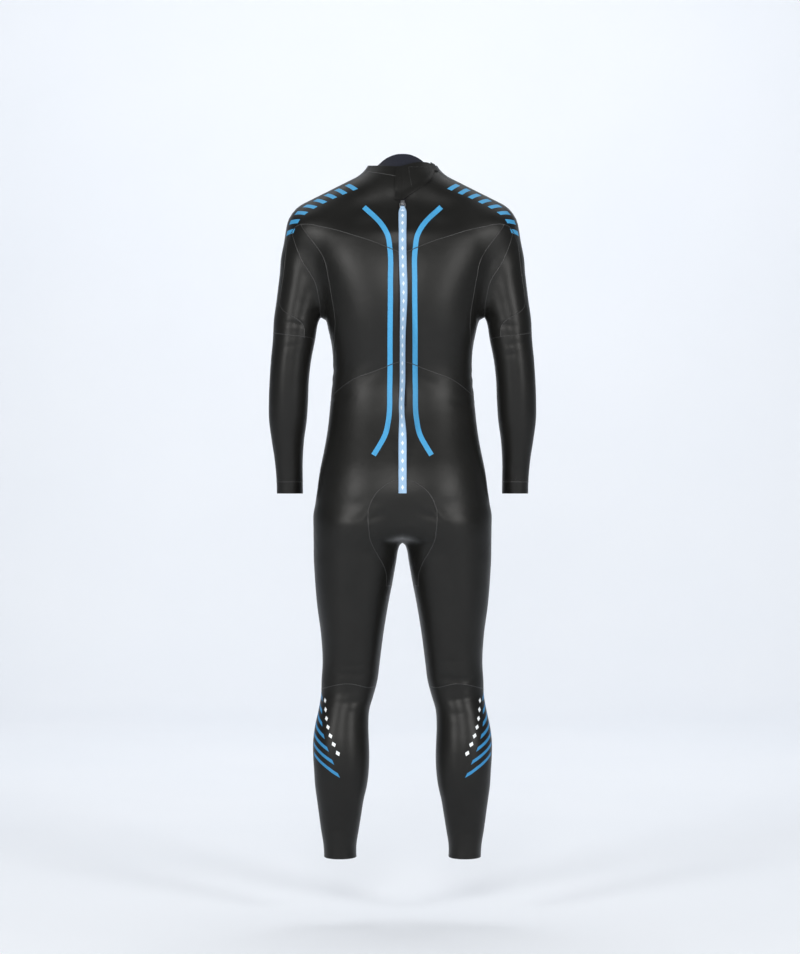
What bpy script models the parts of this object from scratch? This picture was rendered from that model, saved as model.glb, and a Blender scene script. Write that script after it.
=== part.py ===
"""Full-length swimming wetsuit, hollow and filled out as it is worn, with nobody in it.

The suit is cut from neoprene sheet. Each panel that a maker cuts and sews on is one object: a wall with an
outer and an inner skin, SEAM_GAP clear of its neighbours. All panels share one worn form, a smooth union of
level sections whose sizes are in short tables, and one net of rows and columns laid over it, whose lines
follow the seams. Panels that meet at a seam share the net's points there.

Heights in the tables are over the ground that the wearer stands on. +X is the wearer's left, -Y the front and
+Z up. The origin is in the middle of the neck opening at the shoulders, which carry the suit.
"""

import bmesh
import bpy
import numpy as np

# ---------------------------------------------------------------- driving dimensions, in metres
ORIGIN_HEIGHT = 1.500      # the shoulders' height, where the wearer carries the suit
SEAM_GAP = 0.0003          # between two panels at their seam, and under what lies on a panel
BODY_WALL = 0.0030         # neoprene of the trunk and legs
SLEEVE_WALL = 0.0025       # thinner neoprene over shoulders, arms and neck
ZIP_HALF = 0.0075          # half the width of the zip between the back panels
ZIP_SINK = 0.0006          # the zip lies this much below the panels beside it
TRUNK_BLEND = 0.030        # fillets where arms, neck and shoulders run into the trunk
CROTCH_BLEND = 0.040
LEG_BLEND = 0.012
TRUNK_FOOT = 0.806         # the trunk's underside between the legs
TRUNK_TOP = 1.470
TRUNK_SQUARE = 2.35        # 2 is an ellipse, and more is squarer
LIMB_SQUARE = 2.05


def table(columns, *rows):
    """A short table with named columns; its first column is the station that the others follow."""
    return dict(zip(columns.split(), np.array(rows, float).T))


# Level sections of the worn form: half the width, and how far the back and front lie from the middle plane.
TRUNK = table(
    "height half back front",
    (0.780, 0.160, 0.104, -0.084),
    (0.820, 0.170, 0.113, -0.090),
    (0.861, 0.1810, 0.120, -0.094),
    (0.903, 0.1770, 0.123, -0.097),
    (0.945, 0.1712, 0.118, -0.099),
    (0.986, 0.163, 0.108, -0.100),
    (1.028, 0.156, 0.097, -0.1005),
    (1.070, 0.1515, 0.088, -0.101),
    (1.111, 0.1475, 0.084, -0.102),
    (1.153, 0.1445, 0.088, -0.105),
    (1.200, 0.147, 0.101, -0.110),
    (1.240, 0.155, 0.112, -0.115),
    (1.280, 0.164, 0.119, -0.118),
    (1.320, 0.176, 0.122, -0.117),
    (1.360, 0.190, 0.1215, -0.110),
    (1.400, 0.202, 0.117, -0.099),
    (1.440, 0.208, 0.109, -0.084),
    (1.490, 0.200, 0.096, -0.064),
)
NECK = table(
    "height half back front",
    (1.430, 0.105, 0.104, -0.072),
    (1.480, 0.090, 0.090, -0.058),
    (1.520, 0.079, 0.078, -0.053),
    (1.550, 0.0715, 0.070, -0.054),
    (1.570, 0.0690, 0.066, -0.057),
    (1.590, 0.0665, 0.064, -0.060),
    (1.640, 0.064, 0.060, -0.064),
)
ARM = table(
    "height middle half back front",
    (0.880, 0.2365, 0.0275, -0.019, -0.081),
    (0.924, 0.2370, 0.0277, -0.011, -0.073),
    (0.965, 0.2385, 0.0295, 0.000, -0.068),
    (1.007, 0.2400, 0.0340, 0.012, -0.064),
    (1.049, 0.2395, 0.0395, 0.025, -0.061),
    (1.090, 0.2380, 0.0410, 0.035, -0.056),
    (1.132, 0.2360, 0.0410, 0.042, -0.048),
    (1.174, 0.2320, 0.0420, 0.047, -0.045),
    (1.215, 0.2260, 0.0440, 0.051, -0.047),
    (1.257, 0.2215, 0.0463, 0.054, -0.050),
    (1.300, 0.2130, 0.0490, 0.056, -0.054),
    (1.350, 0.2045, 0.0515, 0.057, -0.057),
    (1.400, 0.1975, 0.0525, 0.057, -0.057),
    (1.450, 0.1760, 0.0490, 0.055, -0.055),
)
LEG = table(
    "height middle half back front",
    (0.120, 0.1290, 0.0340, 0.031, -0.050),
    (0.163, 0.1305, 0.0345, 0.031, -0.049),
    (0.195, 0.1305, 0.0395, 0.034, -0.047),
    (0.226, 0.1300, 0.0440, 0.040, -0.045),
    (0.257, 0.1295, 0.0485, 0.048, -0.044),
    (0.288, 0.1280, 0.0540, 0.056, -0.045),
    (0.320, 0.1270, 0.0570, 0.061, -0.047),
    (0.351, 0.1275, 0.0585, 0.062, -0.050),
    (0.382, 0.1280, 0.0580, 0.060, -0.053),
    (0.413, 0.1265, 0.0555, 0.055, -0.057),
    (0.445, 0.1220, 0.0530, 0.049, -0.062),
    (0.476, 0.1150, 0.0550, 0.045, -0.068),
    (0.507, 0.1105, 0.0585, 0.047, -0.072),
    (0.538, 0.1075, 0.0595, 0.052, -0.075),
    (0.601, 0.1050, 0.0650, 0.064, -0.080),
    (0.663, 0.1040, 0.0740, 0.076, -0.085),
    (0.726, 0.1005, 0.0825, 0.088, -0.090),
    (0.778, 0.0975, 0.0872, 0.098, -0.092),
    (0.840, 0.0950, 0.0810, 0.104, -0.088),
)
# From the neck to the shoulder's point runs a roll of this radius, between two points (x, y, height).
SLOPE_FROM, SLOPE_TO = np.array([0.030, 0.010, 1.5195]), np.array([0.1805, 0.002, 1.4455])
SLOPE_RADIUS, SLOPE_DEEPER = 0.059, 1.15

# Guide rings of the yoke net, from the collar's top edge (ring 0) and the collar's seam (1) over the
# shoulders (2) to the yoke seam (3), and down to where sleeve and trunk part (6). Each row is one column of
# the net: 0 is the centre back, 1 the zip's edge, 5 the side seam, 6 the back of the armhole, 8 to 14 the
# strip on the outer arm, 16 the front of the armhole, 17 the front panel's edge and 22 the centre front.
YOKE_RINGS = table(
    "ring column across depth height",
    (3, 0, 0.000, 0.118, 1.387),
    (3, 1, ZIP_HALF, 0.118, 1.388),
    (3, 3, 0.080, 0.110, 1.417),
    (3, 5, 0.200, 0.050, 1.446),
    (3, 6, 0.224, 0.046, 1.436),
    (3, 8, 0.240, 0.036, 1.412),
    (3, 11, 0.2545, 0.000, 1.400),
    (3, 14, 0.240, -0.036, 1.412),
    (3, 16, 0.216, -0.050, 1.436),
    (3, 17, 0.170, -0.064, 1.446),
    (3, 19, 0.100, -0.085, 1.425),
    (3, 22, 0.000, -0.100, 1.400),
    (4, 0, 0.000, 0.121, 1.358),
    (4, 1, ZIP_HALF, 0.121, 1.358),
    (4, 3, 0.085, 0.110, 1.372),
    (4, 5, 0.165, 0.083, 1.380),
    (4, 6, 0.2076, 0.055, 1.379),
    (4, 8, 0.244, 0.036, 1.376),
    (4, 11, 0.258, 0.000, 1.372),
    (4, 14, 0.244, -0.036, 1.376),
    (4, 16, 0.2020, -0.058, 1.379),
    (4, 17, 0.160, -0.078, 1.380),
    (4, 19, 0.095, -0.098, 1.372),
    (4, 22, 0.000, -0.109, 1.364),
    (5, 0, 0.000, 0.122, 1.329),
    (5, 1, ZIP_HALF, 0.122, 1.329),
    (5, 3, 0.083, 0.112, 1.334),
    (5, 5, 0.153, 0.080, 1.336),
    (5, 6, 0.181, 0.056, 1.332),
    (5, 8, 0.2485, 0.034, 1.341),
    (5, 11, 0.261, 0.000, 1.340),
    (5, 14, 0.2485, -0.034, 1.341),
    (5, 16, 0.178, -0.058, 1.332),
    (5, 17, 0.152, -0.082, 1.336),
    (5, 19, 0.092, -0.105, 1.334),
    (5, 22, 0.000, -0.115, 1.330),
    (6, 0, 0.000, 0.121, 1.300),
    (6, 1, ZIP_HALF, 0.121, 1.300),
    (6, 3, 0.080, 0.112, 1.299),
    (6, 5, 0.147, 0.074, 1.295),
    (6, 6, 0.1710, 0.042, 1.285),
    (6, 8, 0.2525, 0.032, 1.305),
    (6, 11, 0.2625, 0.000, 1.305),
    (6, 14, 0.2525, -0.032, 1.305),
    (6, 16, 0.1710, -0.042, 1.285),
    (6, 17, 0.147, -0.076, 1.295),
    (6, 19, 0.089, -0.107, 1.298),
    (6, 22, 0.000, -0.118, 1.300),
)
YOKE_COLUMNS = 22
RINGS = 6
YOKE_STEPS = (2, 3, 4, 2, 2, 2)             # rows of the net between one ring and the next
NECK_ROUND = table(                          # degrees round the neck from the centre back
    "column round",
    (0, 0.0), (1, 6.0), (5, 44.0), (6, 54.0), (8, 68.0), (14, 112.0), (16, 126.0), (17, 134.0), (22, 180.0),
)
COLLAR_TOP = table("round height", (0, 1.5675), (60, 1.574), (90, 1.578), (140, 1.568), (180, 1.560))
COLLAR_SEAM = table("round height", (0, 1.5445), (60, 1.560), (90, 1.568), (140, 1.548), (180, 1.532))
SLOPE_RING = table(                          # ring 2, over the top of the shoulders
    "column across depth height",
    (0, 0.000, 0.104, 1.470),
    (1, ZIP_HALF, 0.104, 1.470),
    (5, 0.118, 0.078, 1.494),
    (8, 0.160, 0.034, 1.520),
    (11, 0.168, 0.002, 1.524),
    (14, 0.160, -0.034, 1.518),
    (17, 0.112, -0.066, 1.490),
    (22, 0.000, -0.078, 1.468),
)

# Columns of the trunk's net: as the yoke's up to 6, then under the arm to 11, front seam 12, centre front 17.
TRUNK_COLUMNS = 17
TRUNK_STEPS = (6, 8, 4)                      # armhole to waist seam, to the gusset's top, to the crotch
ZIP_STEPS = 3                                # rows below the waist seam that the zip goes on for
ARMHOLE_SETTLES = 0.7                        # share of the way to the waist in which the columns even out
WAIST_SEAM = table(
    "round height",
    (0, 1.166), (8, 1.1635), (22, 1.154), (38, 1.143), (52, 1.133), (76, 1.101), (90, 1.085), (120, 1.072),
    (180, 1.066),
)
GUSSET_TOP = table(
    "round height",
    (0, 0.926), (11, 0.9215), (20, 0.9105), (27, 0.896), (31, 0.882), (34, 0.862), (60, 0.872), (120, 0.878),
    (180, 0.880),
)
CROTCH_HEIGHT = 0.817
SIDE_SEAM = table("height round", (0.80, 85), (1.05, 85), (1.15, 83), (1.20, 78), (1.24, 71), (1.295, 64))
GUSSET_ROUND, FRONT_SEAM_ROUND, GUSSET_FRONT_ROUND = 34.0, 119.0, 155.0
CROTCH_MIDDLE = 0.850                        # the rays to the crotch's underside start at this height
CROTCH_COLUMNS = 5

# Arm net: columns 0 to 10 are the yoke's 6 to 16, and 11 to 15 come back through the armpit.
ARM_COLUMNS = 15
ARM_STEPS = (4, 11, 1)                       # armhole to elbow seam, to the cuff's seam, to its hem
ELBOW_SEAM = table("round height", (-90, 1.2154), (0, 1.222), (90, 1.230), (180, 1.222), (270, 1.2154))
CUFF_SEAM_HEIGHT, CUFF_HEM_HEIGHT = 0.9200, 0.8950
STRIP_EDGE = table("height round", (1.220, -28), (1.2425, -22), (1.274, 25), (1.305, 54))

# Leg net: columns 0 to 17 are the trunk's, and 18 to 22 come back under the crotch.
LEG_COLUMNS = TRUNK_COLUMNS + CROTCH_COLUMNS
LEG_STEPS = (4, 8, 13)                       # crotch to the gusset's end, to the knee seam, to the hem
GUSSET_END_HEIGHT = 0.705
KNEE_SEAM = table("round height", (-90, 0.494), (-45, 0.494), (0, 0.503), (60, 0.492), (180, 0.478), (270, 0.494))
LEG_HEM_HEIGHT = 0.138

# The closure at the back of the neck; angles are round the neck, to the wearer's left of the centre back.
TRIM_WALL = 0.0020         # the flap and the guard inside the neck
OVER_FACETS = 0.0009       # clearance of what lies on the neck's curved panels
FLAP = table(
    "round top bottom",
    (-53, 1.5740, 1.5600), (-50, 1.5757, 1.5530), (-46, 1.5768, 1.5447), (-42, 1.5772, 1.5385),
    (-31, 1.5768, 1.5262), (-21, 1.5752, 1.5160), (-12, 1.5725, 1.5070), (-3, 1.5695, 1.4988), (4, 1.5676, 1.4957),
    (12, 1.5668, 1.4965),
)
GUARD = table(
    "round top bottom",
    (-52, 1.5710, 1.5610), (-40, 1.5830, 1.5570), (-20, 1.5930, 1.5510), (0, 1.5956, 1.5490),
    (20, 1.5930, 1.5510), (40, 1.5830, 1.5570), (52, 1.5710, 1.5610),
)
HOOK_TAPE = table("round top bottom", (-63.0, 1.5750, 1.5600), (-53.6, 1.5785, 1.5610))

# The zip's slider, its ring, and the webbing leash that is folded over the ring and hangs down the back.
SLIDER_HEIGHT = 1.4905                       # over the ground, on the zip
SLIDER_SIZE = (0.0080, 0.0095, 0.0030)       # across, along the zip, and thick
SLIDER_LIFT = 0.0009
BRIDGE_ENDS = (-0.0030, 0.0036)              # from the slider's middle, down the zip
WIRE_RADIUS = 0.0008
RING_HALF_WIDTH, RING_LENGTH, RING_CORNER = 0.0050, 0.0085, 0.0020
RING_HANG = 0.0017                           # the upper bar's middle below the slider's
LEASH_WALL = 0.0012
LEASH_LIFT = 0.0009                          # off the panels where it lies on them
LEASH_END_HEIGHT = 0.897
LEASH_WIDTH = table("along width", (0.000, 0.0130), (0.006, 0.0100), (0.0105, 0.0072), (0.016, 0.0100),
                    (0.024, 0.0158), (0.030, 0.0165))
LEASH_FOLD = 0.0100                          # length of the end that is folded over to the outside
# It is turned edge on by the first angle from just below the ring, and by the second one farther down; each
# sets in below a height and is complete after a drop. Above its end it comes flat again.
TURNS = table("turn below drop", (22.0, 1.468, 0.035), (29.0, 1.345, 0.150))
FLAT_HEIGHT, FLAT_RISE = 0.985, 0.075
LEASH_SWAY = table("reach height spread", (-0.0024, 1.300, 0.060), (0.0020, 1.075, 0.035))   # to either side


# ---------------------------------------------------------------- curves through the tables
def curve(stations, values, at):
    """A smooth curve through a table's rows, as cubic spans whose slopes come from the rows beside them."""
    slopes = np.gradient(values, stations)
    at = np.clip(at, stations[0], stations[-1])
    row = np.clip(np.searchsorted(stations, at, side="right") - 1, 0, len(stations) - 2)
    span = stations[row + 1] - stations[row]
    t = (at - stations[row]) / span
    start, end = values[row], values[row + 1]
    return (start * (1 + 2 * t) * (1 - t) ** 2 + end * t * t * (3 - 2 * t)
            + span * t * (1 - t) * (slopes[row] * (1 - t) - slopes[row + 1] * t))


def read(sizes, column, at):
    """One column of a table at any station."""
    return curve(next(iter(sizes.values())), sizes[column], at)


def ease(t):
    """From 0 to 1 with level ends."""
    t = np.clip(t, 0, 1)
    return t * t * (3 - 2 * t)


# ---------------------------------------------------------------- the worn form
def joined(a, b, blend):
    """The union of two distances, with a fillet that is about as wide as blend."""
    share = np.clip(0.5 + 0.5 * (b - a) / blend, 0, 1)
    return b + (a - b) * share - blend * share * (1 - share)


def shared(a, b, blend):
    """Where both distances are inside, with the edge rounded."""
    return -joined(-a, -b, blend)


def section(sizes, x, y, height, middle=0.0, square=LIMB_SQUARE):
    """Distance to a level section's outline, along the line from its middle."""
    back, front = read(sizes, "back", height), read(sizes, "front", height)
    across = np.abs(x - middle) + 1e-6
    depth = np.abs(y - (back + front) / 2)
    reach = ((across / read(sizes, "half", height)) ** square
             + (depth / ((back - front) / 2)) ** square) ** (1 / square)
    length = np.hypot(across, depth)
    return length - length / reach


def form(points):
    """How far points lie outside the worn form; inside it the distance is negative."""
    x, y, height = np.abs(points[..., 0]), points[..., 1], points[..., 2]
    trunk = section(TRUNK, x, y, height, square=TRUNK_SQUARE)
    trunk = shared(trunk, TRUNK_FOOT - height, 0.03)
    trunk = shared(trunk, height - TRUNK_TOP, 0.05)
    legs = joined(section(LEG, x, y, height, read(LEG, "middle", height)),
                  section(LEG, -x, y, height, read(LEG, "middle", height)), LEG_BLEND)
    legs = shared(legs, height - LEG["height"][-1], 0.02)
    arm = section(ARM, x, y, height, read(ARM, "middle", height))
    arm = shared(arm, height - ARM["height"][-1], 0.03)
    neck = shared(section(NECK, x, y, height), NECK["height"][0] - height, 0.02)
    slope = SLOPE_TO - SLOPE_FROM
    flat = np.stack([x, y / SLOPE_DEEPER, height], -1) - SLOPE_FROM
    along = np.clip(flat @ slope / (slope @ slope), 0, 1)
    roll = np.linalg.norm(flat - along[..., None] * slope, axis=-1) - SLOPE_RADIUS
    body = joined(joined(trunk, roll, TRUNK_BLEND), neck, TRUNK_BLEND)
    body = joined(body, legs, CROTCH_BLEND)
    return joined(body, arm, TRUNK_BLEND * ease((height - 1.10) / 0.22) + 0.002)


def outward(points):
    """Unit directions straight out of the form."""
    step = 0.0005 * np.eye(3)
    slope = np.stack([form(points + s) - form(points - s) for s in step], -1)
    return slope / np.linalg.norm(slope, axis=-1, keepdims=True)


def settled(points):
    """Points near the form's skin, moved straight onto it."""
    for _ in range(8):
        points = points - outward(points) * (form(points) * 0.9)[..., None]
    return points


def reached(start, towards, longest, samples=60, halvings=18):
    """The first point of the skin along rays that start inside the form."""
    start, towards = np.broadcast_arrays(start, towards)
    steps = np.linspace(0, longest, samples)
    outside = form(start[..., None, :] + towards[..., None, :] * steps[:, None]) > 0
    first = np.maximum(outside.argmax(-1), 1)
    low, high = steps[first - 1], steps[first]
    for _ in range(halvings):
        middle = (low + high) / 2
        out = form(start + towards * middle[..., None]) > 0
        low, high = np.where(out, low, middle), np.where(out, middle, high)
    return start + towards * ((low + high) / 2)[..., None]


def level_ring(sizes, height, round_back, longest, middle=None):
    """Points at these heights and angles, from a limb's middle; 0 degrees is the back and 90 the outer side."""
    centre = np.zeros(np.broadcast(height, round_back).shape + (3,))
    if middle is not None:
        centre[..., 0] = read(sizes, "middle", height)
    centre[..., 1] = (read(sizes, "back", height) + read(sizes, "front", height)) / 2
    centre[..., 2] = height
    turn = np.radians(round_back)
    return reached(centre, np.stack([np.sin(turn), np.cos(turn), 0 * turn], -1), longest)


def angle_in(sizes, points, middle=None):
    """The angles at which these points lie round a limb's middle, in the same sense as level_ring."""
    height = points[..., 2]
    across = points[..., 0] - (0 if middle is None else read(sizes, "middle", height))
    depth = points[..., 1] - (read(sizes, "back", height) + read(sizes, "front", height)) / 2
    return np.degrees(np.arctan2(across, depth))


# ---------------------------------------------------------------- the net of rows and columns
def stations(steps, fine):
    """Row positions: each whole number is a seam or guide, with its own count of rows before the next."""
    spans = [np.linspace(i, i + 1, n * fine, endpoint=False) for i, n in enumerate(steps)]
    return np.concatenate(spans + [[len(steps)]])


def yoke_net(fine):
    """Collar, shoulders and the trunk down to the armholes, for the wearer's left half."""
    columns = np.linspace(0, YOKE_COLUMNS, YOKE_COLUMNS * fine + 1)
    turn = read(NECK_ROUND, "round", columns)
    rings = []
    for edge in (COLLAR_TOP, COLLAR_SEAM):
        rings.append(level_ring(NECK, read(edge, "height", turn), turn, 0.12))
    rings.append(np.stack([read(SLOPE_RING, side, columns) for side in ("across", "depth", "height")], -1))
    for ring in range(3, RINGS + 1):
        rows = YOKE_RINGS["ring"] == ring
        part = {name: YOKE_RINGS[name][rows] for name in ("column", "across", "depth", "height")}
        rings.append(np.stack([read(part, side, columns) for side in ("across", "depth", "height")], -1))
    rings = settled(np.array(rings))
    rows = stations(YOKE_STEPS, fine)
    collar = rings[0] + (rings[1] - rings[0]) * np.clip(rows, 0, 1)[:, None, None]
    net = collar
    for start, end in ((1, 3), (3, RINGS)):
        flat = rings[start:end + 1].reshape(end + 1 - start, -1)
        ringed = np.arange(start, end + 1)
        spans = np.stack([curve(ringed, values, rows) for values in flat.T], -1)
        net = np.where((rows > start)[:, None, None], spans.reshape(len(rows), *rings[0].shape), net)
    net = settled(net)
    net[:, 0, 0] = net[:, -1, 0] = 0
    return rows, columns, net


def armpit(back, front, fine, columns):
    """The curve under the arm from the back of the armhole to its front: straight down onto the saddle."""
    share = (np.arange(1, columns * fine) / (columns * fine))[:, None]
    start = back + (front - back) * share
    start[:, 2] = start[:, 2] + 0.05
    return reached(start, np.array([0, 0, -1.0]), 0.12)


def trunk_net(fine, split):
    """The trunk from the armholes to the crotch; split is its first row."""
    columns = np.linspace(0, TRUNK_COLUMNS, TRUNK_COLUMNS * fine + 1)
    rows = stations(TRUNK_STEPS, fine)[1:]
    turn_0, height_0 = angle_in(TRUNK, split), split[:, 2]
    net = [split]
    for row in rows:
        turn, height = turn_0, height_0
        for _ in range(3):
            waist, gusset = read(WAIST_SEAM, "height", turn), read(GUSSET_TOP, "height", turn)
            levels = [height_0, waist, gusset, np.full_like(turn, CROTCH_HEIGHT)]
            band = min(int(row), 2)
            height = levels[band] + (levels[band + 1] - levels[band]) * (row - band)
            back = (read(TRUNK, "back", height[0]) - read(TRUNK, "front", height[0])) / 2
            keys = [0, np.degrees(ZIP_HALF / back), GUSSET_ROUND, read(SIDE_SEAM, "round", height[5 * fine]),
                    FRONT_SEAM_ROUND, GUSSET_FRONT_ROUND, 180]
            even = np.interp(columns, [0, 1, 3, 5, 12, 15, 17], keys)
            turn = turn_0 + (even - turn_0) * ease(row / ARMHOLE_SETTLES)
        net.append(level_ring(TRUNK, height, turn, 0.26))
    net = np.array(net)
    net[:, 0, 0] = net[:, -1, 0] = 0
    return np.concatenate([[0], rows]), columns, net


def limb_net(sizes, steps, first, levels, layouts, settles, fine, longest):
    """A sleeve or leg: level rings from a first row down over named seams, whose columns even out.

    levels gives each seam's height for angles, and layouts the angles of the columns at each seam.
    """
    rows = stations(steps, fine)[1:]
    turn_0 = np.degrees(np.unwrap(np.radians(angle_in(sizes, first, True))))
    turn_0 -= 360 * np.round((turn_0.mean() - layouts[0](None).mean()) / 360)
    net = [first]
    for row in rows:
        band = min(int(row), len(steps) - 1)
        turn, height = turn_0, first[:, 2]
        for _ in range(3):
            bounds = [first[:, 2]] + [level(turn) for level in levels]
            height = bounds[band] + (bounds[band + 1] - bounds[band]) * (row - band)
            wanted = layouts[band](height) if band == 0 else (
                layouts[band - 1](height) + (layouts[band](height) - layouts[band - 1](height))
                * ease((row - band) / settles[band]))
            turn = turn_0 + (wanted - turn_0) * ease(row / settles[0]) if band == 0 else wanted
        net.append(level_ring(sizes, height, turn, longest, True))
    return np.concatenate([[0], rows]), np.array(net)


def arm_net(fine, first):
    """The sleeve from the armhole to the cuff's hem; first is its upper ring, without the repeated end."""
    columns = np.arange(ARM_COLUMNS * fine) / fine

    def upper(height):
        edge = -28.0 if height is None else read(STRIP_EDGE, "round", height[2 * fine])
        inner = -45.0 if height is None else min(-45.0, edge - 30)
        keys = [inner, edge, 180 - edge, 180 - inner, 360 + inner]
        return np.interp(columns, [0, 2, 8, 10, ARM_COLUMNS], keys)

    def even(height):
        step = 360 / ARM_COLUMNS
        return 90 + step * (columns - 5)

    levels = [lambda turn: read(ELBOW_SEAM, "height", turn),
              lambda turn: np.full_like(turn, CUFF_SEAM_HEIGHT),
              lambda turn: np.full_like(turn, CUFF_HEM_HEIGHT)]
    return limb_net(ARM, ARM_STEPS, first, levels, [upper, even, even], [0.6, 0.5, 1], fine, 0.09)


def leg_net(fine, first):
    """The leg from the crotch to its hem; first is its upper ring, without the repeated end."""
    columns = np.arange(LEG_COLUMNS * fine) / fine

    def lobe(height):
        keys = [-73, -56, 3, 89, 236, 253, 287]
        return np.interp(columns, [0, 3, 5, 8.5, 15, 17, LEG_COLUMNS], keys)

    def even(height):
        step = 360 / LEG_COLUMNS
        return 90 + step * (columns - 8.5)

    levels = [lambda turn: np.full_like(turn, GUSSET_END_HEIGHT),
              lambda turn: read(KNEE_SEAM, "height", turn),
              lambda turn: np.full_like(turn, LEG_HEM_HEIGHT)]
    return limb_net(LEG, LEG_STEPS, first, levels, [lobe, even, even], [1, 0.7, 1], fine, 0.14)


def crotch_curve(back, front, fine):
    """Points on the middle plane from the front of the crotch round its underside to its back."""
    middle = np.array([0, (back[1] + front[1]) / 2, CROTCH_MIDDLE])
    ends = [np.arctan2(end[1] - middle[1], middle[2] - end[2]) for end in (front, back)]
    turn = np.linspace(*ends, CROTCH_COLUMNS * fine + 1)[1:-1]
    return reached(middle, np.stack([0 * turn, np.sin(turn), -np.cos(turn)], -1), 0.12)


def yoke_panel(row, column):
    """The piece that a cell of the yoke's net belongs to."""
    if row < 1:
        return "collar" if column > 1 else None
    if column < 1:
        return "zip"
    if column > 17:
        return "front"
    if row < 3 or 8 < column < 14:
        return "shoulder"
    if column < 5:
        return "back"
    return "sleeve" if 6 < column < 16 else "side"


def trunk_panel(row, column):
    if row < 1 + ZIP_STEPS / TRUNK_STEPS[1] and column < 1:
        return "zip"
    if row < 1:
        return "back" if column < 5 else "side" if column < 12 else "front"
    return "gusset" if row > 2 and not 3 < column < 15 else "thigh"


def arm_panel(row, column):
    if row < 1:
        return "shoulder" if 2 < column < 8 else "sleeve"
    return "forearm" if row < 2 else "cuff"


def leg_panel(row, column):
    if row < 1:
        return "thigh" if 3 < column < 15 else "gusset"
    return "thigh" if row < 2 else "calf"


WHOLE = ("collar", "zip", "front", "gusset")   # pieces that cross the middle plane


def suit_net(fine=1):
    """All points of the net, and for each piece its cells as rings of four points, counter-clockwise outside."""
    points, cells = [], {}

    def add(rows_of_points, known):
        """Number a net's points; known holds the numbers of the ones that another net already has."""
        numbers = known.copy()
        new = numbers < 0
        numbers[new] = len(points) + np.arange(new.sum())
        points.extend(rows_of_points[new])
        return numbers

    def lay(rows, columns, numbers, panel, closed=False):
        """Sort a net's cells by piece."""
        if closed:
            numbers = np.concatenate([numbers, numbers[:, :1]], 1)
            columns = np.append(columns, columns[-1] + 1 / fine)
        for i, row in enumerate((rows[1:] + rows[:-1]) / 2):
            for j, column in enumerate((columns[1:] + columns[:-1]) / 2):
                name = panel(row, column)
                if name:
                    ring = numbers[i, j], numbers[i, j + 1], numbers[i + 1, j + 1], numbers[i + 1, j]
                    cells.setdefault(name, []).append(ring)

    rows, columns, yoke = yoke_net(fine)
    yoke_numbers = add(yoke, np.full(yoke.shape[:2], -1))
    lay(rows, columns, yoke_numbers, yoke_panel)
    notch_back, notch_front = 6 * fine, 16 * fine
    under = armpit(yoke[-1, notch_back], yoke[-1, notch_front], fine, 5)
    under_numbers = add(under[None], np.full((1, len(under)), -1))[0]

    split = np.concatenate([yoke[-1, :notch_back + 1], under, yoke[-1, notch_front:]])
    rows, columns, trunk = trunk_net(fine, split)
    known = np.full(trunk.shape[:2], -1)
    known[0] = np.concatenate([yoke_numbers[-1, :notch_back + 1], under_numbers, yoke_numbers[-1, notch_front:]])
    trunk_numbers = add(trunk, known)
    lay(rows, columns, trunk_numbers, trunk_panel)

    ring = np.concatenate([yoke[-1, notch_back:notch_front + 1], under[::-1]])
    rows, arm = arm_net(fine, ring)
    known = np.full(arm.shape[:2], -1)
    known[0] = np.concatenate([yoke_numbers[-1, notch_back:notch_front + 1], under_numbers[::-1]])
    arm_columns = np.arange(ARM_COLUMNS * fine) / fine
    lay(rows, arm_columns, add(arm, known), arm_panel, closed=True)

    crotch = crotch_curve(trunk[-1, 0], trunk[-1, -1], fine)
    crotch_numbers = add(crotch[None], np.full((1, len(crotch)), -1))[0]
    rows, leg = leg_net(fine, np.concatenate([trunk[-1], crotch]))
    known = np.full(leg.shape[:2], -1)
    known[0] = np.concatenate([trunk_numbers[-1], crotch_numbers])
    leg_columns = np.arange(LEG_COLUMNS * fine) / fine
    lay(rows, leg_columns, add(leg, known), leg_panel, closed=True)

    points = np.array(points)
    middle = points[:, 0] == 0
    twin = np.where(middle, np.arange(len(points)), len(points) + np.cumsum(~middle) - 1)
    everything = np.concatenate([points, points[~middle] * [-1, 1, 1]])
    pieces = {}
    for name, rings in cells.items():
        left = np.array(rings)
        right = twin[left][:, ::-1]
        if name in WHOLE:
            pieces[name] = np.concatenate([left, right])
        else:
            pieces[name + "_l"], pieces[name + "_r"] = left, right
    return everything, pieces


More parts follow.
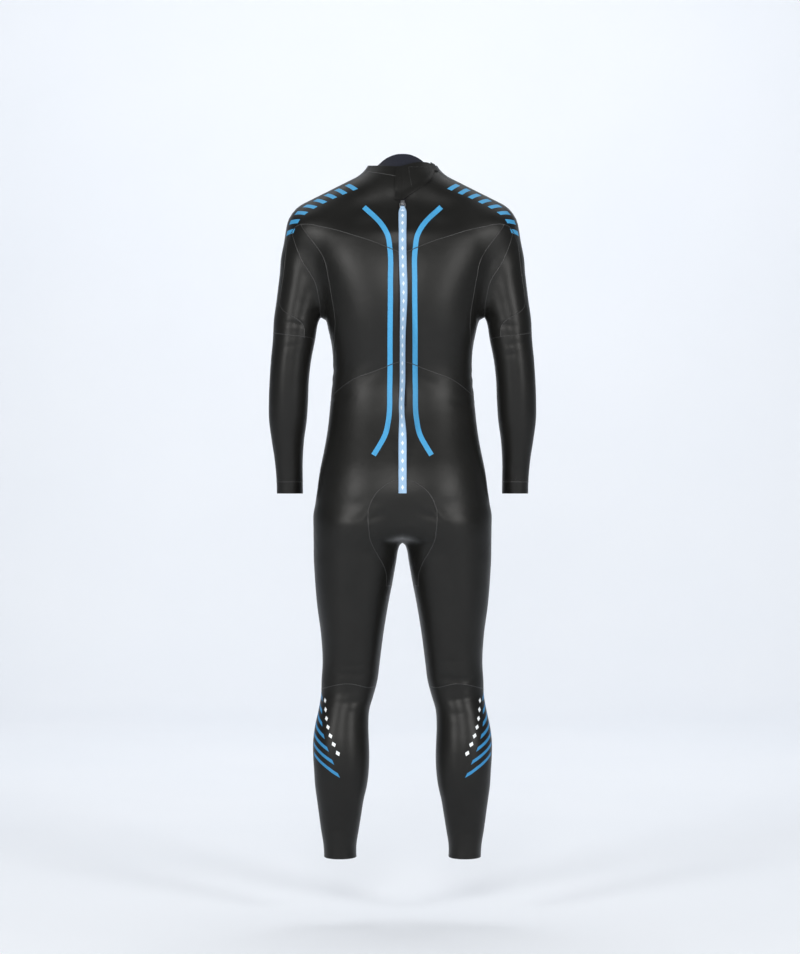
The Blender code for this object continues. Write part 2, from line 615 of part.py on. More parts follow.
# ---------------------------------------------------------------- from a sheet of cells to a wall
def wall(points, normals, cells, thickness, sink=0.0, clearance=SEAM_GAP / 2):
    """Close a sheet of cells into a wall: its outer skin, an inner skin straight below it, and its edges.

    The sheet first draws back from each of its edges by the clearance. Both skins use the form's own
    directions, so the edges of two panels that meet at a seam stay the same distance apart all through.
    """
    used, cells = np.unique(cells, return_inverse=True)
    cells = cells.reshape(-1, 4)
    points, normals = points[used], normals[used]
    sides = np.concatenate([cells[:, [i, (i + 1) % 4]] for i in range(4)])
    codes = sides[:, 0] * len(used) + sides[:, 1]
    edge = sides[~np.isin(codes, sides[:, 1] * len(used) + sides[:, 0])]
    runs = points[edge[:, 1]] - points[edge[:, 0]]
    pull = np.zeros((2,) + points.shape)
    for side, ends in enumerate((edge[:, 0], edge[:, 1])):
        inward = np.cross(normals[ends], runs)
        pull[side, ends] = inward / np.linalg.norm(inward, axis=1, keepdims=True)
    meeting = 1 + (pull[0] * pull[1]).sum(1, keepdims=True)
    points = points + clearance * (pull[0] + pull[1]) / np.maximum(meeting, 0.3)
    outer = points - normals * sink
    inner = points - normals * thickness
    count = len(points)
    # A cell is split along its shorter diagonal, which keeps slanted cells close to the form.
    diagonals = [np.linalg.norm(outer[cells[:, i]] - outer[cells[:, i + 2]], axis=1) for i in (0, 1)]
    cells = np.where((diagonals[0] < diagonals[1])[:, None], cells, np.roll(cells, -1, 1))
    halves = np.concatenate([cells[:, [0, 1, 2]], cells[:, [0, 2, 3]]])
    faces = halves.tolist() + (halves[:, ::-1] + count).tolist()
    for a, b in edge:
        # The same corner joins both skins on either side of a seam, so the two edges stay parallel.
        if used[a] < used[b]:
            faces += [(b, a, b + count), (a, a + count, b + count)]
        else:
            faces += [(b, a, a + count), (b, a + count, b + count)]
    return np.concatenate([outer, inner]), faces


def solid(name, points, faces, finish):
    """An object with this mesh, given over the ground, in the part's collection."""
    mesh = bpy.data.meshes.new(name)
    mesh.from_pydata((points - [0, 0, ORIGIN_HEIGHT]).tolist(), [], [tuple(map(int, face)) for face in faces])
    mesh.validate()
    mesh.shade_smooth()
    mesh.set_sharp_from_angle(angle=np.radians(40))
    mesh.materials.append(finish)
    piece = bpy.data.objects.new(name, mesh)
    COLLECTION.objects.link(piece)
    return piece


def material(name, colour, roughness, metallic=0.0):
    """A plain Principled finish."""
    finish = bpy.data.materials.new(name)
    finish.use_nodes = True
    shader = finish.node_tree.nodes["Principled BSDF"]
    shader.inputs["Base Color"].default_value = (*colour, 1)
    shader.inputs["Roughness"].default_value = roughness
    shader.inputs["Metallic"].default_value = metallic
    return finish


def panels():
    """Every piece that is cut from neoprene, and the zip's tape between the two back panels."""
    points, pieces = suit_net()
    normals = outward(points)
    thin = ("collar", "shoulder", "sleeve", "forearm", "cuff")
    for name, cells in pieces.items():
        thickness = SLEEVE_WALL if name.split("_")[0] in thin else BODY_WALL
        sink = ZIP_SINK if name == "zip" else 0.0
        finish = ZIP_BLACK if name == "zip" else NEOPRENE
        solid(name, *wall(points, normals, cells, thickness, sink), finish)


def lying(name, outline, columns, rows, inner, outer, finish):
    """A piece that follows the neck between an outline's top and bottom, this far off the form."""
    turn = np.linspace(outline["round"][0], outline["round"][-1], columns + 1)
    top, bottom = read(outline, "top", turn), read(outline, "bottom", turn)
    height = top + (bottom - top) * np.linspace(0, 1, rows + 1)[:, None]
    points = level_ring(NECK, height, np.broadcast_to(turn, height.shape), 0.14)
    numbers = np.arange(height.size).reshape(height.shape)
    cells = np.stack([numbers[:-1, :-1], numbers[:-1, 1:], numbers[1:, 1:], numbers[1:, :-1]], -1).reshape(-1, 4)
    points = points.reshape(-1, 3)
    solid(name, *wall(points, outward(points), cells, -inner, -outer, clearance=0), finish)


def closure():
    """The flap that crosses the zip's top, its hook tape's corner, and the guard inside the neck."""
    lying("flap", FLAP, 14, 5, OVER_FACETS, OVER_FACETS + TRIM_WALL, NEOPRENE)
    lying("hook_tape", HOOK_TAPE, 3, 2, OVER_FACETS, OVER_FACETS + TRIM_WALL, ZIP_BLACK)
    deep = -SLEEVE_WALL - OVER_FACETS
    lying("neck_guard", GUARD, 16, 4, deep - TRIM_WALL, deep, LINING)


def back_line(height):
    """Points of the form at the centre back."""
    start = np.zeros(height.shape + (3,))
    start[..., 1], start[..., 2] = 0.01, height
    return reached(start, np.array([0, 1.0, 0]), 0.16)


def zip_frame():
    """The slider's place on the zip: a point, the way down along the zip, and the way out."""
    place = back_line(np.array([SLIDER_HEIGHT]))
    out = outward(place)[0]
    return place[0], np.array([0, out[2], -out[1]]), out


def ring_outline(corner_points=4):
    """The ring's wire, in metres across and down from its upper bar: a rectangle with round corners."""
    middles = [(1, 1), (1, -1), (-1, -1), (-1, 1)]
    outline = []
    for i, (side, upper) in enumerate(middles):
        centre = (side * (RING_HALF_WIDTH - RING_CORNER),
                  RING_CORNER if upper > 0 else RING_LENGTH - RING_CORNER)
        for turn in np.radians(90 - 90 * i - np.linspace(0, 90, corner_points)):
            outline.append((centre[0] + RING_CORNER * np.cos(turn), centre[1] - RING_CORNER * np.sin(turn)))
    return np.array(outline)


def wire(name, path, closed, finish, bevel_resolution=1):
    """A round wire along a path that is given over the ground."""
    line = bpy.data.curves.new(name, "CURVE")
    line.dimensions = "3D"
    line.bevel_depth, line.bevel_resolution, line.use_fill_caps = WIRE_RADIUS, bevel_resolution, True
    spline = line.splines.new("POLY")
    spline.points.add(len(path) - 1)
    spline.points.foreach_set("co", np.column_stack([path - [0, 0, ORIGIN_HEIGHT], np.ones(len(path))]).ravel())
    spline.use_cyclic_u = closed
    line.materials.append(finish)
    piece = bpy.data.objects.new(name, line)
    COLLECTION.objects.link(piece)
    return piece


def slider_and_ring():
    """The slider's body with the bridge on it, and the ring that hangs from the bridge."""
    place, down, out = zip_frame()
    turn = np.column_stack([[1, 0, 0], -down, out])
    width, length, thick = SLIDER_SIZE
    bpy.ops.mesh.primitive_cube_add(size=1)
    body = bpy.context.active_object
    body.name = body.data.name = "slider"
    for vertex in body.data.vertices:
        local = np.array(vertex.co) * [width, length, thick]
        taper = 0.78 if vertex.co.y < 0 else 1.0
        local[0] *= taper
        vertex.co = place + turn @ local + out * (SLIDER_LIFT + thick / 2) - [0, 0, ORIGIN_HEIGHT]
    for collection in list(body.users_collection):
        collection.objects.unlink(body)
    COLLECTION.objects.link(body)
    body.data.materials.append(METAL)
    rounded = body.modifiers.new("rounded", "BEVEL")
    rounded.width, rounded.segments = 0.0008, 2

    top = SLIDER_LIFT + thick
    hole, ends = 2.4 * WIRE_RADIUS + 0.0006, BRIDGE_ENDS
    bridge = [(ends[0], -0.001), (ends[0], hole), (ends[0] + 0.0012, hole + 0.0010),
              (ends[1] - 0.0012, hole + 0.0010), (ends[1], hole), (ends[1], -0.001)]
    path = np.array([place + down * along + out * (top + high) for along, high in bridge])
    bridge = wire("slider_bridge", path, False, METAL, 2)
    bpy.context.view_layer.update()
    mesh = bpy.data.meshes.new_from_object(bridge.evaluated_get(bpy.context.evaluated_depsgraph_get()))
    bpy.data.objects.remove(bridge, do_unlink=True)
    shape = bmesh.new()
    shape.from_mesh(mesh)
    bmesh.ops.remove_doubles(shape, verts=shape.verts, dist=1e-5)
    bmesh.ops.recalc_face_normals(shape, faces=shape.faces)
    shape.to_mesh(mesh)
    shape.free()
    guide = bpy.data.objects.new("slider_bridge", mesh)
    guide.hide_render, guide.display_type = True, "WIRE"
    GUIDES.objects.link(guide)
    union = body.modifiers.new("bridge", "BOOLEAN")
    union.operation, union.object = "UNION", guide

    # The ring's upper bar lies under the bridge, and its lower bar just over the leash's rear layer.
    upper = place + down * RING_HANG + out * (top + 0.0003 + WIRE_RADIUS)
    bar_lift = LEASH_LIFT + LEASH_WALL + SEAM_GAP + WIRE_RADIUS
    below = back_line(np.array([(place + down * (RING_HANG + RING_LENGTH))[2]]))
    lower = (below + outward(below) * bar_lift)[0]
    along = (lower - upper) / RING_LENGTH
    outline = ring_outline()
    path = upper + outline[:, :1] * np.array([1, 0, 0]) + outline[:, 1:] * along
    wire("ring", path, True, METAL)
    return lower, down, out


def leash_turn(height):
    """How far the webbing is turned about its own length, in radians."""
    turns = sum(turn * ease((below - height) / drop) for turn, below, drop in zip(*TURNS.values()))
    return np.radians(turns) * ease((height - FLAT_HEIGHT) / FLAT_RISE)


def leash():
    """Webbing folded over the ring's lower bar; from there it hangs straight and lies only where the back is full."""
    bar, down, out = slider_and_ring()
    round_bar = WIRE_RADIUS + SEAM_GAP + LEASH_WALL / 2
    fold = [bar + out * (round_bar + 0.0001) + down * along for along in np.linspace(LEASH_FOLD, 0.0005, 4)]
    fold += [bar + round_bar * (np.cos(turn) * out - np.sin(turn) * down)
             for turn in np.radians(np.linspace(0, 180, 7))]
    heights = np.linspace(bar[2] - 0.004, LEASH_END_HEIGHT, 34)
    lying_on = back_line(heights)
    depth = lying_on[:, 1] + (LEASH_LIFT + LEASH_WALL / 2) / outward(lying_on)[:, 1]
    depth = depth + LEASH_WIDTH["width"][-1] / 2 * np.sin(leash_turn(heights))
    # The taut line: between any two places on the back it never lies nearer the body than their straight line.
    span = (heights[:, None, None] - heights[None, :, None]) / (
        heights[None, None, :] - heights[None, :, None] + 1e-12)
    straight = depth[None, :, None] + (depth[None, None, :] - depth[None, :, None]) * span
    taut = np.where((span >= 0) & (span <= 1), straight, -1).max((1, 2))
    sway = sum(reach * np.exp(-((heights - middle) / spread) ** 2) for reach, middle, spread
               in zip(*LEASH_SWAY.values()))
    hanging = np.column_stack([sway, taut, heights])
    path = np.concatenate([fold, hanging])
    along = np.concatenate([[0], np.cumsum(np.linalg.norm(np.diff(path, axis=0), axis=1))])
    half = read(LEASH_WIDTH, "width", along) / 2
    run = np.gradient(path, axis=0)
    run /= np.linalg.norm(run, axis=1, keepdims=True)
    turn = leash_turn(path[:, 2])[:, None]
    face = np.cross(run, [1.0, 0, 0])
    side = np.array([1.0, 0, 0]) * np.cos(turn) + face * np.sin(turn)
    face = np.cross(run, side)
    sheet = np.concatenate([path - side * half[:, None], path + side * half[:, None]])
    count = len(path)
    cells = np.array([(i, i + 1, i + 1 + count, i + count) for i in range(count - 1)])
    normals = np.concatenate([face, face])
    solid("leash", *wall(sheet + normals * LEASH_WALL / 2, normals, cells, LEASH_WALL, clearance=0), WEBBING)


for old in list(bpy.data.objects):
    bpy.data.objects.remove(old, do_unlink=True)
COLLECTION = bpy.data.collections.new("wetsuit")
GUIDES = bpy.data.collections.new("cutters")
for group in (COLLECTION, GUIDES):
    bpy.context.scene.collection.children.link(group)
NEOPRENE = material("neoprene", (0.032, 0.032, 0.031), 0.45)
ZIP_BLACK = material("zip_black", (0.012, 0.012, 0.014), 0.5)
LINING = material("neck_lining", (0.010, 0.012, 0.020), 0.8)
METAL = material("plated_metal", (0.20, 0.20, 0.21), 0.35, 1.0)
WEBBING = material("webbing", (0.45, 0.62, 0.78), 0.8)
panels()
closure()
leash()
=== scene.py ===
"""Looks of the full-length swimming wetsuit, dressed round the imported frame.

The panels repeat the part's worn form and its net of rows and columns on a finer grid, with soft creases,
closed walls and rounded edges. Beads over the seams, the zip's coils, stitches and the printed stripes are
added, and the flap, the guard, the hook tape's corner and the leash are made finer. Heights in the tables are
over the ground that the wearer stands on; +X is the wearer's left, -Y the front and +Z up.
"""

import bpy
import mathutils
import numpy as np
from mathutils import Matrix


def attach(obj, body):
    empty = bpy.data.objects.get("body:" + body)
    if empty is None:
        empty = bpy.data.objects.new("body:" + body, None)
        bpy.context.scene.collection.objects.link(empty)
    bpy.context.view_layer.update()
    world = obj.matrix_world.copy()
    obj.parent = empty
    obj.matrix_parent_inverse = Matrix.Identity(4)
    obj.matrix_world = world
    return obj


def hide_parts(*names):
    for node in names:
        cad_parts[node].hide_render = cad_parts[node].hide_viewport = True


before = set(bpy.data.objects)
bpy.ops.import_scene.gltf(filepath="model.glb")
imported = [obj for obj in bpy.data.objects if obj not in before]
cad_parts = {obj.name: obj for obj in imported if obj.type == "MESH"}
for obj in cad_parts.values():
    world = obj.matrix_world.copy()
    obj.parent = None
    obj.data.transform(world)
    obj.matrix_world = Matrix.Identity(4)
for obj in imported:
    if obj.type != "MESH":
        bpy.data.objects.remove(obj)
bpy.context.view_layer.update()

# ---------------------------------------------------------------- driving dimensions, in metres
FINE = 5                   # cells of the fine net along each cell of the part's net
ORIGIN_HEIGHT = 1.500      # the shoulders' height, where the wearer carries the suit
SEAM_GAP = 0.0003          # between two panels at their seam, and under what lies on a panel
BODY_WALL = 0.0030         # neoprene of the trunk and legs
SLEEVE_WALL = 0.0025       # thinner neoprene over shoulders, arms and neck
ZIP_HALF = 0.0075          # half the width of the zip between the back panels
ZIP_SINK = 0.0006          # the zip lies this much below the panels beside it
TRUNK_BLEND = 0.030        # fillets where arms, neck and shoulders run into the trunk
CROTCH_BLEND = 0.040
LEG_BLEND = 0.012
TRUNK_FOOT = 0.806         # the trunk's underside between the legs
TRUNK_TOP = 1.470
TRUNK_SQUARE = 2.35        # 2 is an ellipse, and more is squarer
LIMB_SQUARE = 2.05
# Rounding where the trunk, legs, arms and neck are cut off inside each other, and the arm's fillet, which
# grows from a height upward.
FOOT_ROUNDING, TOP_ROUNDING, ARM_ROUNDING, LIMB_ROUNDING = 0.03, 0.05, 0.03, 0.02
ARM_BLEND_FOOT, ARM_BLEND_RISE, ARM_BLEND_LEAST = 1.10, 0.22, 0.002
# Longest ways from inside a limb to its skin; the armpit's rays start higher, and the back line's lie behind
# the middle.
TRUNK_RAY, ARM_RAY, LEG_RAY, NECK_RAY, SHORT_RAY, BACK_RAY = 0.26, 0.09, 0.14, 0.14, 0.12, 0.16
ARMPIT_RISE, BACK_RAY_FROM = 0.05, 0.01
SLOPE_STEP = 0.0005        # to either side of a point, where the form's direction is measured
SETTLING_STEPS, SETTLING_SHARE = 8, 0.9


def colour(red, green, blue):
    """A screen colour from 0 to 255, as the linear colour of a shader."""
    part = np.array([red, green, blue]) / 255
    return (*np.where(part > 0.04045, ((part + 0.055) / 1.055) ** 2.4, part / 12.92), 1.0)


def table(columns, *rows):
    """A short table with named columns; its first column is the station that the others follow."""
    return dict(zip(columns.split(), np.array(rows, float).T))


# Level sections of the worn form: half the width, and how far the back and front lie from the middle plane.
TRUNK = table(
    "height half back front",
    (0.780, 0.160, 0.104, -0.084),
    (0.820, 0.170, 0.113, -0.090),
    (0.861, 0.1810, 0.120, -0.094),
    (0.903, 0.1770, 0.123, -0.097),
    (0.945, 0.1712, 0.118, -0.099),
    (0.986, 0.163, 0.108, -0.100),
    (1.028, 0.156, 0.097, -0.1005),
    (1.070, 0.1515, 0.088, -0.101),
    (1.111, 0.1475, 0.084, -0.102),
    (1.153, 0.1445, 0.088, -0.105),
    (1.200, 0.147, 0.101, -0.110),
    (1.240, 0.155, 0.112, -0.115),
    (1.280, 0.164, 0.119, -0.118),
    (1.320, 0.176, 0.122, -0.117),
    (1.360, 0.190, 0.1215, -0.110),
    (1.400, 0.202, 0.117, -0.099),
    (1.440, 0.208, 0.109, -0.084),
    (1.490, 0.200, 0.096, -0.064),
)
NECK = table(
    "height half back front",
    (1.430, 0.105, 0.104, -0.072),
    (1.480, 0.090, 0.090, -0.058),
    (1.520, 0.079, 0.078, -0.053),
    (1.550, 0.0715, 0.070, -0.054),
    (1.570, 0.0690, 0.066, -0.057),
    (1.590, 0.0665, 0.064, -0.060),
    (1.640, 0.064, 0.060, -0.064),
)
ARM = table(
    "height middle half back front",
    (0.880, 0.2365, 0.0275, -0.019, -0.081),
    (0.924, 0.2370, 0.0277, -0.011, -0.073),
    (0.965, 0.2385, 0.0295, 0.000, -0.068),
    (1.007, 0.2400, 0.0340, 0.012, -0.064),
    (1.049, 0.2395, 0.0395, 0.025, -0.061),
    (1.090, 0.2380, 0.0410, 0.035, -0.056),
    (1.132, 0.2360, 0.0410, 0.042, -0.048),
    (1.174, 0.2320, 0.0420, 0.047, -0.045),
    (1.215, 0.2260, 0.0440, 0.051, -0.047),
    (1.257, 0.2215, 0.0463, 0.054, -0.050),
    (1.300, 0.2130, 0.0490, 0.056, -0.054),
    (1.350, 0.2045, 0.0515, 0.057, -0.057),
    (1.400, 0.1975, 0.0525, 0.057, -0.057),
    (1.450, 0.1760, 0.0490, 0.055, -0.055),
)
LEG = table(
    "height middle half back front",
    (0.120, 0.1290, 0.0340, 0.031, -0.050),
    (0.163, 0.1305, 0.0345, 0.031, -0.049),
    (0.195, 0.1305, 0.0395, 0.034, -0.047),
    (0.226, 0.1300, 0.0440, 0.040, -0.045),
    (0.257, 0.1295, 0.0485, 0.048, -0.044),
    (0.288, 0.1280, 0.0540, 0.056, -0.045),
    (0.320, 0.1270, 0.0570, 0.061, -0.047),
    (0.351, 0.1275, 0.0585, 0.062, -0.050),
    (0.382, 0.1280, 0.0580, 0.060, -0.053),
    (0.413, 0.1265, 0.0555, 0.055, -0.057),
    (0.445, 0.1220, 0.0530, 0.049, -0.062),
    (0.476, 0.1150, 0.0550, 0.045, -0.068),
    (0.507, 0.1105, 0.0585, 0.047, -0.072),
    (0.538, 0.1075, 0.0595, 0.052, -0.075),
    (0.601, 0.1050, 0.0650, 0.064, -0.080),
    (0.663, 0.1040, 0.0740, 0.076, -0.085),
    (0.726, 0.1005, 0.0825, 0.088, -0.090),
    (0.778, 0.0975, 0.0872, 0.098, -0.092),
    (0.840, 0.0950, 0.0810, 0.104, -0.088),
)
# From the neck to the shoulder's point runs a roll of this radius, between two points (x, y, height).
SLOPE_FROM, SLOPE_TO = np.array([0.030, 0.010, 1.5195]), np.array([0.1805, 0.002, 1.4455])
SLOPE_RADIUS, SLOPE_DEEPER = 0.059, 1.15

# Guide rings of the yoke net, from the collar's top edge (ring 0) and the collar's seam (1) over the
# shoulders (2) to the yoke seam (3), and down to where sleeve and trunk part (6). Each row is one column of
# the net: 0 is the centre back, 1 the zip's edge, 5 the side seam, 6 the back of the armhole, 8 to 14 the
# strip on the outer arm, 16 the front of the armhole, 17 the front panel's edge and 22 the centre front.
YOKE_RINGS = table(
    "ring column across depth height",
    (3, 0, 0.000, 0.118, 1.387),
    (3, 1, ZIP_HALF, 0.118, 1.388),
    (3, 3, 0.080, 0.110, 1.417),
    (3, 5, 0.200, 0.050, 1.446),
    (3, 6, 0.224, 0.046, 1.436),
    (3, 8, 0.240, 0.036, 1.412),
    (3, 11, 0.2545, 0.000, 1.400),
    (3, 14, 0.240, -0.036, 1.412),
    (3, 16, 0.216, -0.050, 1.436),
    (3, 17, 0.170, -0.064, 1.446),
    (3, 19, 0.100, -0.085, 1.425),
    (3, 22, 0.000, -0.100, 1.400),
    (4, 0, 0.000, 0.121, 1.358),
    (4, 1, ZIP_HALF, 0.121, 1.358),
    (4, 3, 0.085, 0.110, 1.372),
    (4, 5, 0.165, 0.083, 1.380),
    (4, 6, 0.2076, 0.055, 1.379),
    (4, 8, 0.244, 0.036, 1.376),
    (4, 11, 0.258, 0.000, 1.372),
    (4, 14, 0.244, -0.036, 1.376),
    (4, 16, 0.2020, -0.058, 1.379),
    (4, 17, 0.160, -0.078, 1.380),
    (4, 19, 0.095, -0.098, 1.372),
    (4, 22, 0.000, -0.109, 1.364),
    (5, 0, 0.000, 0.122, 1.329),
    (5, 1, ZIP_HALF, 0.122, 1.329),
    (5, 3, 0.083, 0.112, 1.334),
    (5, 5, 0.153, 0.080, 1.336),
    (5, 6, 0.181, 0.056, 1.332),
    (5, 8, 0.2485, 0.034, 1.341),
    (5, 11, 0.261, 0.000, 1.340),
    (5, 14, 0.2485, -0.034, 1.341),
    (5, 16, 0.178, -0.058, 1.332),
    (5, 17, 0.152, -0.082, 1.336),
    (5, 19, 0.092, -0.105, 1.334),
    (5, 22, 0.000, -0.115, 1.330),
    (6, 0, 0.000, 0.121, 1.300),
    (6, 1, ZIP_HALF, 0.121, 1.300),
    (6, 3, 0.080, 0.112, 1.299),
    (6, 5, 0.147, 0.074, 1.295),
    (6, 6, 0.1710, 0.042, 1.285),
    (6, 8, 0.2525, 0.032, 1.305),
    (6, 11, 0.2625, 0.000, 1.305),
    (6, 14, 0.2525, -0.032, 1.305),
    (6, 16, 0.1710, -0.042, 1.285),
    (6, 17, 0.147, -0.076, 1.295),
    (6, 19, 0.089, -0.107, 1.298),
    (6, 22, 0.000, -0.118, 1.300),
)
YOKE_COLUMNS = 22
NOTCH_BACK, NOTCH_FRONT = 6, 16              # the yoke's columns at the back and the front of the armhole
ARMPIT_COLUMNS = 5
RINGS = 6
YOKE_STEPS = (2, 3, 4, 2, 2, 2)             # rows of the net between one ring and the next
NECK_ROUND = table(                          # degrees round the neck from the centre back
    "column round",
    (0, 0.0), (1, 6.0), (5, 44.0), (6, 54.0), (8, 68.0), (14, 112.0), (16, 126.0), (17, 134.0), (22, 180.0),
)
COLLAR_TOP = table("round height", (0, 1.5675), (60, 1.574), (90, 1.578), (140, 1.568), (180, 1.560))
COLLAR_SEAM = table("round height", (0, 1.5445), (60, 1.560), (90, 1.568), (140, 1.548), (180, 1.532))
SLOPE_RING = table(                          # ring 2, over the top of the shoulders
    "column across depth height",
    (0, 0.000, 0.104, 1.470),
    (1, ZIP_HALF, 0.104, 1.470),
    (5, 0.118, 0.078, 1.494),
    (8, 0.160, 0.034, 1.520),
    (11, 0.168, 0.002, 1.524),
    (14, 0.160, -0.034, 1.518),
    (17, 0.112, -0.066, 1.490),
    (22, 0.000, -0.078, 1.468),
)

# Columns of the trunk's net: as the yoke's up to 6, then under the arm to 11, front seam 12, centre front 17.
TRUNK_COLUMNS = NOTCH_BACK + ARMPIT_COLUMNS + YOKE_COLUMNS - NOTCH_FRONT
TRUNK_STEPS = (6, 8, 4)                      # armhole to waist seam, to the gusset's top, to the crotch
ZIP_STEPS = 3                                # rows below the waist seam that the zip goes on for
ARMHOLE_SETTLES = 0.7                        # share of the way to the waist in which the columns even out
WAIST_SEAM = table(
    "round height",
    (0, 1.166), (8, 1.1635), (22, 1.154), (38, 1.143), (52, 1.133), (76, 1.101), (90, 1.085), (120, 1.072),
    (180, 1.066),
)
GUSSET_TOP = table(
    "round height",
    (0, 0.926), (11, 0.9215), (20, 0.9105), (27, 0.896), (31, 0.882), (34, 0.862), (60, 0.872), (120, 0.878),
    (180, 0.880),
)
CROTCH_HEIGHT = 0.817
SIDE_SEAM = table("height round", (0.80, 85), (1.05, 85), (1.15, 83), (1.20, 78), (1.24, 71), (1.295, 64))
GUSSET_ROUND, FRONT_SEAM_ROUND, GUSSET_FRONT_ROUND = 34.0, 119.0, 155.0
CROTCH_MIDDLE = 0.850                        # the rays to the crotch's underside start at this height
CROTCH_COLUMNS = 5
TRUNK_KEYS = (0, 1, 3, 5, 12, 15, 17)        # columns at the centre back, zip, gusset, seams and centre front
NET_TRIES = 3                                # seams' heights depend on angles that depend on heights

# Arm net: columns 0 to 10 are the yoke's 6 to 16, and 11 to 15 come back through the armpit.
ARM_COLUMNS = NOTCH_FRONT - NOTCH_BACK + ARMPIT_COLUMNS
ARM_STEPS = (4, 11, 1)                       # armhole to elbow seam, to the cuff's seam, to its hem
ELBOW_SEAM = table("round height", (-90, 1.2154), (0, 1.222), (90, 1.230), (180, 1.222), (270, 1.2154))
CUFF_SEAM_HEIGHT, CUFF_HEM_HEIGHT = 0.9200, 0.8950
STRIP_EDGE = table("height round", (1.220, -28), (1.2425, -22), (1.274, 25), (1.305, 54))
ARM_KEYS = (0, 2, 8, 10, ARM_COLUMNS)        # columns at the strip's rear edge are 2 and at its front edge 8
INNER_ROUND, INNER_BEHIND = -45.0, 30.0      # column 0 lies here, or this far behind the strip's edge
ARM_SETTLES = (0.6, 0.5, 1)                  # share of each stretch in which the columns even out

# Leg net: columns 0 to 17 are the trunk's, and 18 to 22 come back under the crotch.
LEG_COLUMNS = TRUNK_COLUMNS + CROTCH_COLUMNS
LEG_STEPS = (4, 8, 13)                       # crotch to the gusset's end, to the knee seam, to the hem
GUSSET_END_HEIGHT = 0.705
KNEE_SEAM = table("round height", (-90, 0.494), (-45, 0.494), (0, 0.503), (60, 0.492), (180, 0.478),
                  (270, 0.494))
LEG_HEM_HEIGHT = 0.138
GUSSET_LOBE = table("column round", (0, -73), (3, -56), (5, 3), (8.5, 89), (15, 236), (17, 253), (22, 287))
LEG_OUTER_COLUMN, ARM_OUTER_COLUMN = 8.5, 5  # these lie on the outer side, at 90 degrees
LEG_SETTLES = (1, 0.7, 1)

# The closure at the back of the neck; angles are round the neck, to the wearer's left of the centre back.
TRIM_WALL = 0.0020         # the flap and the guard inside the neck
OVER_FACETS = 0.0009       # clearance of what lies on the neck's curved panels
FLAP = table(
    "round top bottom",
    (-53, 1.5740, 1.5600), (-50, 1.5757, 1.5530), (-46, 1.5768, 1.5447), (-42, 1.5772, 1.5385),
    (-31, 1.5768, 1.5262), (-21, 1.5752, 1.5160), (-12, 1.5725, 1.5070), (-3, 1.5695, 1.4988),
    (4, 1.5676, 1.4957), (12, 1.5668, 1.4965),
)
GUARD = table(
    "round top bottom",
    (-52, 1.5710, 1.5610), (-40, 1.5830, 1.5570), (-20, 1.5930, 1.5510), (0, 1.5956, 1.5490),
    (20, 1.5930, 1.5510), (40, 1.5830, 1.5570), (52, 1.5710, 1.5610),
)
HOOK_TAPE = table("round top bottom", (-63.0, 1.5750, 1.5600), (-53.6, 1.5785, 1.5610))

# The zip's slider, its ring, and the webbing leash that is folded over the ring and hangs down the back.
SLIDER_HEIGHT = 1.4905                       # over the ground, on the zip
WIRE_RADIUS = 0.0008                         # of the ring's wire
RING_LENGTH = 0.0085
RING_HANG = 0.0017                           # the upper bar's middle below the slider's
LEASH_WALL = 0.0012
LEASH_LIFT = 0.0009                          # off the panels where it lies on them
LEASH_END_HEIGHT = 0.897
LEASH_WIDTH = table("along width", (0.000, 0.0130), (0.006, 0.0100), (0.0105, 0.0072), (0.016, 0.0100),
                    (0.024, 0.0158), (0.030, 0.0165))
LEASH_FOLD = 0.0100                          # length of the end that is folded over to the outside
# It is turned edge on by the first angle from just below the ring, and by the second one farther down; each
# sets in below a height and is complete after a drop. Above its end it comes flat again.
TURNS = table("turn below drop", (22.0, 1.468, 0.035), (29.0, 1.345, 0.150))
FLAT_HEIGHT, FLAT_RISE = 0.985, 0.075
LEASH_SWAY = table("reach height spread", (-0.0024, 1.300, 0.060), (0.0020, 1.075, 0.035))   # to either side

# Prints, as a maker's screens put them on the outer skin.
BACK_STRIPE = table(
    "height out",
    (0.9748, 0.0591), (0.9932, 0.0478), (1.0146, 0.0362), (1.0482, 0.0286), (1.1135, 0.0262),
    (1.2215, 0.0255), (1.3255, 0.0247), (1.3948, 0.0258), (1.4243, 0.0310), (1.4508, 0.0469),
    (1.4835, 0.0791),
)
BACK_STRIPE_HALF = 0.0052
STRIPE_REACH, BAR_REACH = 0.020, 0.034       # how far round its middle line each print's field is kept
STRIPE_POINTS, LINE_POINTS = 90, 40
NEAR_LEAST, NEAR_SCALE = 0.2, 0.02           # where a field's nearness lets ink show
SHOULDER_LINE = table("out depth height", (0.104, 0.052, 1.524), (0.142, 0.050, 1.512), (0.178, 0.048, 1.494),
                      (0.209, 0.046, 1.468), (0.233, 0.040, 1.432), (0.246, 0.034, 1.396))
CALF_ANGLE, CALF_TURN, CALF_TOP, CALF_FOOT = 82.0, -46.0, 0.478, 0.316
# Rows of bars: pitch and half width along the line, half the band's width and how it spreads, slant, and the
# first and last place.
SHOULDER_BARS = (0.0235, 0.0052, 0.0140, 0.0, 0.55, -0.0117, 0.1765)
CALF_BARS = (0.0250, 0.0046, 0.0110, 0.09, -1.2, -0.0125, 0.1625)
WHITE_PITCH, WHITE_HALF_LENGTH, WHITE_HALF_WIDTH = 0.0200, 0.0062, 0.0036
WHITE_SIDE, WHITE_SLOPE, WHITE_FROM, WHITE_TO = 0.0210, 0.12, 0.010, 0.150

